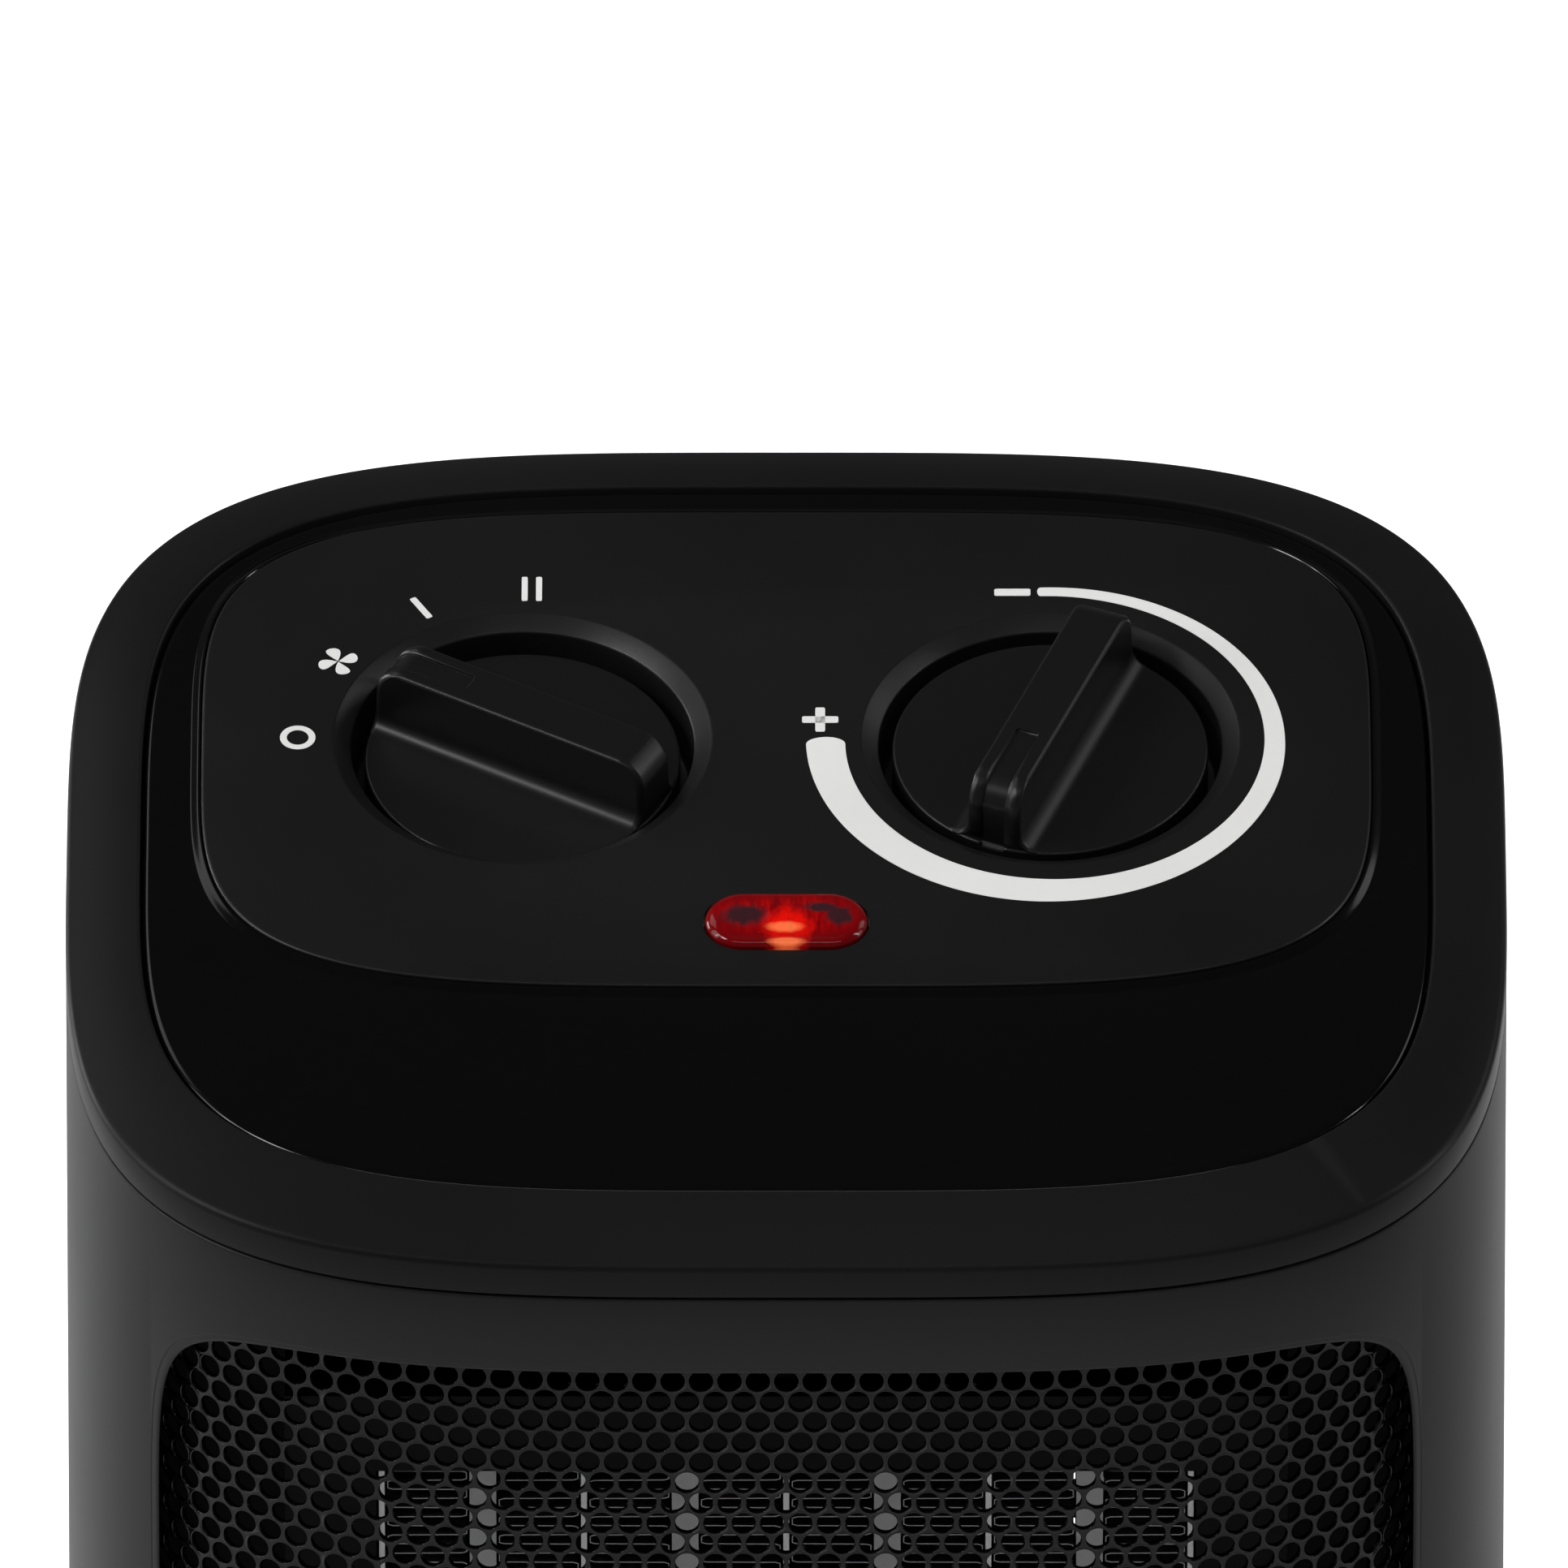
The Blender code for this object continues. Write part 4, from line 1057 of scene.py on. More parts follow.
@dataclass
class RearCover:
    """The back of the body with its hand hold, air slots and cord inlet."""

    form: Form
    grip_half_width: float = 42.0 * MM
    grip_bottom: float = 187.25 * MM
    grip_top: float = 217.25 * MM
    grip_lip: float = 8.0 * MM
    grip_depth: float = 28.0 * MM
    slot_low: float = 42.0 * MM
    slot_pitch: float = 8.4 * MM
    slot_height: float = 3.8 * MM
    slot_half_width: float = 43.0 * MM
    slot_from: float = 50.0 * MM
    middle_bar: float = 6.0 * MM
    slots_below_grip: float = 10.6 * MM
    screw_x: float = 56.0 * MM
    screw_recess: float = 3.4 * MM
    screw_head: float = 3.6 * MM
    screw_hole: float = 1.8 * MM
    screw_reach: float = 3.1 * MM
    flare: float = 0.3 * MM
    boss: float = 6.2 * MM
    boss_length: float = 6.6 * MM
    gland: tuple[float, float, float] = (50.0 * MM, 17.0 * MM, 6.3 * MM)
    screw_low: float = 30.0 * MM
    screw_high: float = 190.0 * MM
    recess_shift: Pair = (0.011 * MM, 0.017 * MM)
    inlet_shift: float = 0.013 * MM
    recess_points: int = 46
    hole_points: int = 34
    inlet_points: int = 62
    slot_points: int = 32
    grip_points: int = 64
    grip_power: float = 9.0

    def across(self, name: str, half: Pair, z: float, y: Pair) -> Piece:
        """A cutter with rounded corners that runs along Y.

        Args:
            name: The cutter's name.
            half: Half its width and height.
            z: Height of its middle.
            y: Where it starts and ends.

        Returns:
            The cutter.
        """
        ring = even(superellipse(half, self.grip_power, CORNER_POINTS), self.grip_points)
        return skin(name, [upright(ring + (0.0, z), at) for at in y])

    def seat_y(self) -> float:
        """Where the screw heads sit.

        Returns:
            Y of the seats.
        """
        share = (self.screw_x + self.screw_reach) / self.form.half_x
        wall = self.form.half_y * (1 - share**self.form.power) ** (1 / self.form.power)
        return wall - self.screw_recess

    def slots(self) -> list[Piece]:
        """Two columns of round-ended air slots.

        Returns:
            The cutters.
        """
        high = self.grip_bottom - self.slots_below_grip
        rows = int((high - self.slot_low - self.slot_height) / self.slot_pitch) + 1
        length = self.slot_half_width - self.middle_bar / 2
        made = []
        for row in range(rows):
            z = self.slot_low + row * self.slot_pitch + self.slot_height / 2
            for side in (-1, 1):
                x = side * (self.slot_half_width + self.middle_bar / 2) / 2
                ring = oblong(length, self.slot_height, self.slot_points, (x, z))
                made.append(skin("slot", [upright(ring, y) for y in (self.slot_from, FAR)]))
        return made

    def build(self) -> None:
        """Make the cover from the body's wall."""
        form = self.form
        wall = skin("wall", form.wall_rings(), closed=True)
        front = block("front", (-FAR, -FAR, -FAR), (FAR, form.split_y + form.gap, FAR))
        shaped(wall, [front])
        pocket = form.half_y - self.grip_depth
        middle = (self.grip_bottom + self.grip_top) / 2
        half = (self.grip_half_width, (self.grip_top - self.grip_bottom) / 2)
        outer = (half[0] + form.wall, half[1] + form.wall)
        reach = (pocket - form.wall, form.half_y - form.wall / 2)
        adds = [self.across("pocket", outer, middle, reach)]
        seat = self.seat_y()
        places = [(s * self.screw_x, z) for s in (-1, 1) for z in (self.screw_low, self.screw_high)]
        for x, z in places:
            steps = [(self.boss, seat - self.boss_length), (self.boss, seat + form.wall / 2)]
            adds.append(rod_y("boss", steps, x, z))
        shaped(wall, adds, add=True)
        mouth_high = self.grip_top - self.grip_lip
        mouth = (self.grip_bottom + mouth_high) / 2
        cuts = []
        for x, z in places:
            recess = [(self.screw_head, seat), (self.screw_head + self.flare, FAR)]
            hole = [(self.screw_hole, seat - THROUGH), (self.screw_hole, seat + 0.5 * MM)]
            place = (x + self.recess_shift[0], z + self.recess_shift[1])
            cuts.append(rod_y("recess", recess, *place, self.recess_points))
            cuts.append(rod_y("hole", hole, x, z, self.hole_points))
        x, z, radius = self.gland
        inlet = [(radius, form.split_y + 10 * MM), (radius, FAR)]
        open_half = (half[0], (mouth_high - self.grip_bottom) / 2)
        cuts += [
            self.across("hollow", half, middle, (pocket, form.half_y - form.wall)),
            self.across("mouth", open_half, mouth, (pocket, FAR)),
            rod_y("inlet", inlet, x, z + self.inlet_shift, self.inlet_points),
            joined("slots", self.slots(), weld=False),
        ]
        for cut in cuts:
            shaped(wall, [cut])
        wall.name = "rear_body"
        finished(wall, Finishes.body, ["rear_cover"])


@dataclass
class TopRim:
    """The sloping satin rim that caps the body."""

    form: Form
    slope_drop: float = 3.0 * MM
    inner_round: float = 0.5 * MM
    ridge_round: float = 1.2 * MM
    ridge_start: float = math.radians(18.4)
    undercut: float = 2.4 * MM
    low_round: float = 0.35 * MM
    steps: int = 5

    def build(self) -> None:
        """Make the rim as one closed ring."""
        form = self.form
        under = form.seam_drop - self.undercut
        step = form.wall + form.gap
        e = self.inner_round
        rings = [form.sloped(form.rim_inner(0.0), under)]
        for out, low in arc((0.0, e), (0.0, 0.0), (e, 0.0), self.steps):
            rings.append(form.sloped(form.rim_inner(out), low))
        r = self.ridge_round
        centre = self.slope_drop + r * math.cos(self.ridge_start)
        for index in range(self.steps + 1):
            a = self.ridge_start + (math.pi / 2 - self.ridge_start) * index / self.steps
            rings.append(form.sloped(form.outline(r - r * math.sin(a)), centre - r * math.cos(a)))
        e = self.low_round
        low = form.seam_drop
        for inset, down in arc((0.0, low - e), (0.0, low), (e, low), 3):
            rings.append(form.sloped(form.outline(inset), down))
        rings.append(form.sloped(form.outline(step), low))
        rings.append(form.sloped(form.outline(step), under))
        finished(skin("rim_cap", rings, closed=True), Finishes.rim, ["top_rim"])


@dataclass
class TopInsert:
    """The gloss deck between the rim and the panel."""

    form: Form
    drop: float = 0.5 * MM
    skin_depth: float = 2.4 * MM
    edge: float = 0.9 * MM
    edge_drop: float = 0.6 * MM
    pocket_inset: float = 0.15 * MM
    pocket_reach: Pair = (-1.6 * MM, 10 * MM)
    lamp_gap: float = 1.0 * MM
    cup_gap: float = 2.6 * MM
    cup_points: int = 64
    border: Sequence[Pair] = (
        (1.60, -0.50), (1.42, -0.49), (1.28, -0.42), (1.00, -0.25), (0.60, -0.01),
        (0.40, 0.08), (0.26, 0.07), (0.18, -0.02), (0.15, -0.30), (0.15, -1.60),
    )

    def build(self, panel: ControlPanel) -> None:
        """Make the deck and cut its holes for the panel's cups and the lamp.

        Args:
            panel: The panel that stands on it.
        """
        form = self.form
        low = self.drop + self.skin_depth
        rings = [form.sloped(form.rim_inner(-form.gap), low)]
        start = (0.0, self.drop + self.edge_drop)
        for inset, down in arc(start, (0.0, self.drop), (self.edge, self.drop), 6):
            rings.append(form.sloped(form.rim_inner(-1.5 * form.gap - inset), down))
        deck = skin("deck", rings)
        rings = [panel.plate_ring(-out * MM, z * MM) for out, z in self.border]
        border = skin("border", rings, caps=False, matrix=form.deck)
        rings = [panel.plate_ring(-self.pocket_inset, z) for z in self.pocket_reach]
        pocket = skin("pocket", rings, matrix=form.deck)
        cuts = [pocket, panel.lamp_cutter(self.lamp_gap)]
        radius = panel.well_radius + self.cup_gap
        cuts += [panel.round_cutter(x, radius, self.cup_points) for x in panel.knob_x]
        shaped(deck, cuts)
        finished(joined("gloss_deck", [deck, border]), Finishes.gloss, ["top_insert"])


@dataclass
class ControlPanel:
    """The satin panel with two wells and the lamp's slot."""

    form: Form
    half: Pair = (77.3 * MM, 47.13 * MM)
    middle_y: float = 17.05 * MM
    power: float = 4.0
    rise: float = 0.4 * MM
    thickness: float = 1.9 * MM
    edge: float = 0.4 * MM
    knob_y: float = 18.85 * MM
    knob_x: Pair = (-34.9 * MM, 34.9 * MM)
    well_radius: float = 22.7 * MM
    lip_width: float = 2.5 * MM
    lip_depth: float = 1.5 * MM
    lip_edge: float = 0.2 * MM
    lip_high: Sequence[Pair] = ((0.3, 0.0), (1.0, 0.16), (1.7, 0.55))
    lip_low: Sequence[Pair] = ((1.2, 0.55), (0.6, 0.05), (0.15, -0.6), (0.0, -1.6))
    floor_round: float = 0.8 * MM
    well_depth: float = 10.5 * MM
    cup_wall: float = 2.0 * MM
    bore: float = 3.8 * MM
    lamp_size: Pair = (21.4 * MM, 10.4 * MM)
    lamp_y: float = -17.68 * MM
    well_points: int = 128
    lamp_points: int = 64

    def lamp_cutter(self, clearance: float) -> Piece:
        """A cutter for the lamp's hole, through the deck.

        Args:
            clearance: How far it stands off the lamp.

        Returns:
            The cutter.
        """
        length, width = (side + 2 * clearance for side in self.lamp_size)
        ring = oblong(length, width, self.lamp_points, (0.0, self.lamp_y))
        rings = [raised(ring, -THROUGH), raised(ring, THROUGH)]
        return skin("lamp_hole", rings, matrix=self.form.deck)

    def round_cutter(self, x: float, radius: float, count: int) -> Piece:
        """A cutter round one knob's axis, through the deck."""
        steps = [(radius, -THROUGH), (radius, THROUGH)]
        return lathe("round_hole", steps, count, (x, self.knob_y), matrix=self.form.deck)

    def well(self, x: float) -> Piece:
        """The cup of one well with its soft lip.

        Args:
            x: Where the well is across the deck.

        Returns:
            The cup.
        """
        r, top = self.well_radius, self.rise
        mouth = r + self.lip_width
        floor = top - self.well_depth
        under = floor - self.cup_wall
        profile = [(mouth, top - self.thickness / 2), (mouth, top)]
        e, deep = self.lip_edge, self.lip_depth
        profile += [(mouth - across * e, top - down * e) for across, down in self.lip_high]
        profile += [(r + across * e, top - deep + up * e) for across, up in self.lip_low]
        profile += arc((r, floor + self.floor_round), (r, floor), (r - self.floor_round, floor), 4)
        profile += [(self.bore, floor), (self.bore, under), (r + self.cup_wall, under)]
        profile += [(r + self.cup_wall, top - self.thickness)]
        place = (x, self.knob_y)
        return lathe("well", profile, self.well_points, place, caps=False, matrix=self.form.deck)

    def build(self) -> None:
        """Make the plate, open it over the wells and join the cups."""
        rings = [self.plate_ring(0.0, self.rise - self.thickness)]
        for inset, down in arc((0.0, self.edge), (0.0, 0.0), (self.edge, 0.0), 5):
            rings.append(self.plate_ring(inset, self.rise - down))
        plate = skin("plate", rings, matrix=self.form.deck)
        cuts = [self.lamp_cutter(self.form.gap)]
        radius = self.well_radius + self.lip_width
        cuts += [self.round_cutter(x, radius, self.well_points) for x in self.knob_x]
        shaped(plate, cuts)
        cups = [self.well(x) for x in self.knob_x]
        finished(joined("panel", [plate, *cups]), Finishes.satin, ["control_panel"])

    def plate_ring(self, inset: float, z: float) -> np.ndarray:
        """The panel's outline, moved in, at a height on the deck."""
        half = (self.half[0] - inset, self.half[1] - inset)
        return raised(superellipse(half, self.power, self.form.points, (0.0, self.middle_y)), z)


@dataclass
class DialMarks:
    """White printed signs round the two knobs."""

    form: Form
    panel: ControlPanel
    radius: float = 29.7 * MM
    ink: float = 0.05 * MM
    line: float = 0.9 * MM
    ring_size: float = 4.7 * MM
    fan_size: float = 5.4 * MM
    fan_at: Pair = (148.2, 28.8 * MM)
    blades: int = 4
    blade_turn: float = 14.0
    blade_width: float = 0.66
    low_at: Pair = (117.6, 29.2 * MM)
    low_size: Pair = (4.6 * MM, 0.9 * MM)
    low_turn: float = 121.0
    high_at: float = 87.8
    high_apart: float = 0.95 * MM
    high_size: Pair = (4.8 * MM, 0.8 * MM)
    minus_at: float = 99.4
    minus_out: float = 0.3 * MM
    minus_size: Pair = (4.8 * MM, 1.4 * MM)
    plus_at: float = 172.2
    plus_out: float = 1.0 * MM
    plus_size: Pair = (4.8 * MM, 1.3 * MM)
    bar_power: float = 14.0
    points: int = 48
    arc_start: float = 92.2
    arc_end: float = -178.6
    arc_down: float = 0.6 * MM
    arc_widths: Sequence[Pair] = ((90.0, 1.7), (0.0, 2.7), (-90.0, 4.4), (-180.0, 5.2))
    arc_steps: int = 140
    cap_share: float = 0.55
    cap_steps: int = 14

    def flat(self, outline: np.ndarray) -> Piece:
        """One printed shape from its outline on the deck.

        Args:
            outline: The printed shape's outline.

        Returns:
            The printed shape.
        """
        z = self.panel.rise
        rings = [raised(outline, z), raised(outline, z + self.ink)]
        return skin("mark", rings, matrix=self.form.deck)

    def spot(self, knob: int, degrees: float, radius: float) -> np.ndarray:
        """A place round a knob, by its angle from +X.

        Args:
            knob: 0 for the switch and 1 for the thermostat.
            degrees: The angle.
            radius: How far from the knob's axis.

        Returns:
            The place on the deck.
        """
        a = math.radians(degrees)
        middle = np.array([self.panel.knob_x[knob], self.panel.knob_y - knob * self.arc_down])
        return middle + radius * np.array([math.cos(a), math.sin(a)])

    def bar(self, middle: np.ndarray, size: Pair, degrees: float) -> Piece:
        """A short round-ended bar, turned by an angle.

        Args:
            middle: Its middle.
            size: Its length and width.
            degrees: Its angle.

        Returns:
            The printed bar.
        """
        half = (size[0] / 2, size[1] / 2)
        ring = even(superellipse(half, self.bar_power, CORNER_POINTS), self.points)
        return self.flat(turned(ring, degrees) + middle)

    def annulus(self, middle: np.ndarray, outer: float, inner: float) -> Piece:
        """A flat ring.

        Args:
            middle: Its middle.
            outer: Its outer radius.
            inner: Its inner radius.

        Returns:
            The printed ring.
        """
        z = self.panel.rise
        steps = [(inner, z), (inner, z + self.ink), (outer, z + self.ink), (outer, z)]
        place = tuple(middle)
        return lathe("mark", steps, self.points, place, closed=True, matrix=self.form.deck)

    def blade(self, middle: np.ndarray, degrees: float) -> Piece:
        """One swept blade of the fan sign.

        Args:
            middle: The sign's middle.
            degrees: The blade's angle.

        Returns:
            The printed blade.
        """
        reach = self.fan_size / 2
        share = np.sin(np.linspace(0.0, math.pi / 2, 16))
        half = self.blade_width * share**0.95 * np.sqrt(1 - share**3)
        swept = 0.16 * share**2 - 0.06 * share
        lead = np.stack([share, swept + half], axis=1)
        trail = np.stack([share, swept - half * 0.85], axis=1)[::-1]
        ring = np.vstack([lead, trail[1:-1]]) * reach * 0.96 + np.array([0.04 * reach, 0.0])
        return self.flat(turned(ring, degrees) + middle)

    def sweep(self) -> Piece:
        """The arc that widens with the heat.

        Returns:
            The printed arc.
        """
        angles = np.radians(np.linspace(self.arc_start, self.arc_end, self.arc_steps))
        table = sorted((math.radians(a), w * MM) for a, w in self.arc_widths)
        width = np.interp(angles, [a for a, _ in table], [w for _, w in table])
        middle = np.array([self.panel.knob_x[1], self.panel.knob_y - self.arc_down])
        edge = np.stack([np.cos(angles), np.sin(angles)], axis=1)
        outer = middle + edge * (self.radius + width / 2)[:, None]
        inner = middle + edge * (self.radius - width / 2)[:, None]
        start = self.cap(angles[0], width[0], middle, 1)
        end = self.cap(angles[-1], width[-1], middle, -1)
        return self.flat(np.vstack([outer, end, inner[::-1], start]))

    def cap(self, angle: float, width: float, middle: np.ndarray, side: int) -> np.ndarray:
        """The round end of the arc, from outside to inside at its end and back at its start.

        Args:
            angle: Where the end is.
            width: The arc's width there.
            middle: The arc's middle.
            side: 1 for the start and -1 for the end.

        Returns:
            The points of the round end.
        """
        out = np.array([math.cos(angle), math.sin(angle)])
        on = side * np.array([-math.sin(angle), math.cos(angle)])
        turns = np.linspace(0.0, math.pi, self.cap_steps)[1:-1]
        if side > 0:
            turns = turns[::-1]
        centre = middle + out * self.radius
        points = [out * math.cos(t) + on * self.cap_share * math.sin(t) for t in turns]
        return np.array([centre + width / 2 * point for point in points])

    def build(self) -> None:
        """Print the switch's four signs, the arc, and the minus and plus."""
        off = self.spot(0, 180.0, self.radius)
        half = self.ring_size / 2
        marks = [self.annulus(off, half, half - self.line)]
        fan = self.spot(0, *self.fan_at)
        step = 360.0 / self.blades
        marks += [self.blade(fan, self.blade_turn + step * turn) for turn in range(self.blades)]
        marks.append(self.bar(self.spot(0, *self.low_at), self.low_size, self.low_turn))
        high = self.spot(0, self.high_at, self.radius)
        for side in (-1, 1):
            place = high + np.array([side * self.high_apart, 0.0])
            marks.append(self.bar(place, self.high_size, 90.0))
        minus = self.spot(1, self.minus_at, self.radius + self.minus_out)
        marks.append(self.bar(minus, self.minus_size, 0.0))
        plus = self.spot(1, self.plus_at, self.radius + self.plus_out)
        for degrees in (0.0, 90.0):
            marks.append(self.bar(plus, self.plus_size, degrees))
        marks.append(self.sweep())
        finished(joined("dial_marks", marks, weld=False), Finishes.white)


@dataclass
class RotaryKnob:
    """A disc with a grip bar across it and a pointer channel at one end."""

    form: Form
    panel: ControlPanel
    name: str
    body: str
    side: int
    drop: float
    pointer: float
    radius: float = 20.9 * MM
    disc_round: float = 0.4 * MM
    bar_height: float = 9.7 * MM
    bar_half_width: float = 3.9 * MM
    foot: float = 2.4 * MM
    top_round: float = 0.6 * MM
    end_round: float = 3.8 * MM
    corner: float = 0.8 * MM
    end_gap: float = 0.05 * MM
    channel_width: float = 3.2 * MM
    channel_length: float = 13.0 * MM
    channel_depth: float = 0.4 * MM
    channel_corner: float = 0.5 * MM
    channel_over: float = 0.8 * MM
    channel_below: float = 0.6 * MM
    channel_steps: int = 4
    end_steps: int = 12
    round_steps: int = 6
    corner_steps: int = 8
    disc_points: int = 160
    bore_points: int = 48
    sharper: float = 38.0
    floor_gap: float = 0.8 * MM
    overlap: float = 1.0 * MM
    lean: float = 0.3 * MM
    bore: float = 3.3 * MM
    bore_depth: float = 7.5 * MM

    def bar_ring(self, half_length: float, half_width: float, corner: float) -> np.ndarray:
        """A rounded rectangle in plan, with points spread over its long sides.

        Args:
            half_length: Half the length.
            half_width: Half the width.
            corner: Radius of the corners.

        Returns:
            The points of the ring.
        """
        found = []
        for quarter in range(4):
            sx = 1 if quarter in (0, 3) else -1
            sy = 1 if quarter < 2 else -1
            for step in range(self.corner_steps + 1):
                a = math.radians(90 * quarter + 90 * step / self.corner_steps)
                x = sx * (half_length - corner) + corner * math.cos(a)
                y = sy * (half_width - corner) + corner * math.sin(a)
                bow = self.radius - math.sqrt(self.radius**2 - y**2)
                found.append((x - sx * bow, y))
        return np.array(found)

    def bar(self) -> Piece:
        """The grip bar, from its spread foot to its rounded top.

        Returns:
            The bar.
        """
        high, foot = self.bar_height, self.foot
        turns = [math.pi / 2 * step / self.round_steps for step in range(self.round_steps + 1)]
        levels = [-self.overlap, 0.0, high / 2]
        levels += [foot * (1 - math.cos(turn)) for turn in turns[1:]]
        levels += list(self.end_curve()[:, 0])
        levels += [high - self.top_round * (1 - math.sin(turn)) for turn in turns[:-1]]
        rings = []
        for z in sorted(set(round(level, 7) for level in levels)):
            spread = self.concave(z)
            lean = self.lean * max(z, 0.0) / high
            end = float(np.interp(z, *self.end_curve().T))
            half_length = self.radius - self.end_gap - lean - end
            half_width = self.bar_half_width + spread - lean - self.convex(z)
            corner = min(self.corner, half_width * 0.6)
            rings.append(raised(self.bar_ring(half_length, half_width, corner), z))
        return skin("bar", rings)

    def concave(self, z: float) -> float:
        """How far the foot's hollow curve spreads the bar at a height.

        Args:
            z: The height above the disc.

        Returns:
            The spread.
        """
        if z >= self.foot:
            return 0.0
        down = 1 - max(z, 0.0) / self.foot
        return self.foot * (1 - math.sqrt(max(1 - down**2, 0.0)))

    def convex(self, z: float) -> float:
        """How far the rounded top edge pulls the bar in at a height.

        Args:
            z: The height above the disc.

        Returns:
            The inset.
        """
        radius = self.top_round
        up = z - (self.bar_height - radius)
        if up <= 0:
            return 0.0
        return radius - math.sqrt(max(radius**2 - up**2, 0.0))

    def end_curve(self) -> np.ndarray:
        """Heights and insets of the bar's rounded ends, from the wall to the top.

        Returns:
            A height and an inset for each step.
        """
        turns = np.linspace(0.0, math.pi / 2, self.end_steps + 1)
        high = self.bar_height - self.end_round * (1 - np.sin(turns))
        return np.stack([high, self.end_round * (1 - np.cos(turns))], axis=1)

    def channel(self) -> Piece:
        """The cutter for the pointer, which runs along the top and down the end.

        Returns:
            The cutter.
        """
        high, half, corner = self.bar_height, self.channel_width / 2, self.channel_corner
        start, wall = self.radius - self.channel_length, self.radius - self.end_gap
        path = []
        for step in range(self.channel_steps + 1):
            a = math.pi / 2 * step / self.channel_steps
            x = start + corner * (1 - math.cos(a))
            path.append((x, high, 0.0, half - corner * (1 - math.sin(a))))
        for number, (z, inset) in enumerate(self.end_curve()[::-1]):
            a = math.pi / 2 * number / self.end_steps
            path.append((wall - self.lean * z / high - inset, z, a, half))
        path.append((wall, -self.channel_below, math.pi / 2, half))
        rings = []
        deep, over = self.channel_depth, self.channel_over
        for x, z, turn, width in path:
            out, up = math.sin(turn), math.cos(turn)
            section = ((-width, -deep), (width, -deep), (width, over), (-width, over))
            rings.append(np.array([(x + h * out, y, z + h * up) for y, h in section]))
        return skin("channel", rings)

    def build(self) -> None:
        """Make the knob at its pointer's angle and put it in its well."""
        face = self.panel.rise - self.drop
        low = self.panel.rise - self.panel.well_depth + self.floor_gap - face
        r, e = self.radius, self.disc_round
        profile = [(r, low), *arc((r, -e), (r, 0.0), (r - e, 0.0), 5)]
        knob = shaped(lathe("disc", profile, self.disc_points, (0.0, 0.0)), [self.bar()], add=True)
        hollow = [(self.bore, low - self.overlap), (self.bore, low + self.bore_depth)]
        shaped(knob, [self.channel(), lathe("bore", hollow, self.bore_points, (0.0, 0.0))])
        crease(knob, self.sharper)
        levelled(knob)
        place = Matrix.Translation((self.panel.knob_x[self.side], self.panel.knob_y, face))
        turn = Matrix.Rotation(math.radians(self.pointer), 4, "Z")
        knob.data.transform(self.form.deck @ place @ turn)
        knob.name = self.name + "_grip"
        finished(knob, Finishes.satin, [self.name], self.body)


@dataclass
class PilotLamp:
    """The domed red lens and the neon bulb under it."""

    form: Form
    panel: ControlPanel
    dome: float = 1.5 * MM
    rim: float = 1.9 * MM
    skirt: float = 6.0 * MM
    bulb: float = 3.0 * MM
    bulb_length: float = 14.0 * MM
    bulb_pole: float = 0.1 * MM
    bulb_steps: int = 6
    bulb_points: int = 32
    points: int = 72
    rim_steps: int = 8
    rim_share: float = 0.8
    crown_share: float = 0.2
    crown_steps: Sequence[float] = (0.25, 0.5, 0.75, 1.0)
    crown_reach: float = 0.96
    sharper: float = 60.0

    def ring(self, inset: float, z: float) -> np.ndarray:
        """The lens's outline, moved in, at a height on the deck."""
        length, width = (side - 2 * inset for side in self.panel.lamp_size)
        return raised(oblong(length, width, self.points, (0.0, self.panel.lamp_y)), z)

    def build(self) -> None:
        """Make the lens and the bulb."""
        top = self.panel.rise
        high = self.dome * self.rim_share
        shape = [(0.0, -self.skirt), (0.0, 0.0)]
        for a in np.linspace(0.0, math.pi / 2, self.rim_steps + 1)[1:]:
            shape.append((self.rim * (1 - math.cos(a)), high * math.sin(a)))
        inner = self.panel.lamp_size[1] / 2 * self.crown_reach
        for share in self.crown_steps:
            crown = self.dome * self.crown_share * (1 - (1 - share) ** 2)
            shape.append((self.rim + (inner - self.rim) * share, high + crown))
        rings = [self.ring(inset, top + z) for inset, z in shape]
        lens = skin("lamp_dome", rings, matrix=self.form.deck)
        crease(lens, self.sharper)
        finished(lens, Finishes.lens, ["lamp_lens"])
        self.build_bulb()

    def build_bulb(self) -> None:
        """Make the bulb, lying under the lens."""
        steps = []
        half = self.bulb_length / 2
        for step in range(self.bulb_steps + 1):
            a = math.pi / 2 * step / self.bulb_steps
            radius = max(self.bulb * math.sin(a), self.bulb_pole)
            steps.append((radius, -half + self.bulb * (1 - math.cos(a))))
        steps += [(self.bulb, half - 1.0 * MM), (self.bulb * 0.7, half)]
        low = self.panel.rise - self.skirt - self.bulb - self.form.gap
        place = Matrix.Translation((0.0, self.panel.lamp_y, low))
        lying = self.form.deck @ place @ Matrix.Rotation(math.pi / 2, 4, "Y")
        bulb = lathe("neon_bulb", steps, self.bulb_points, (0.0, 0.0), matrix=lying)
        finished(bulb, Finishes.neon, ["neon_lamp"])


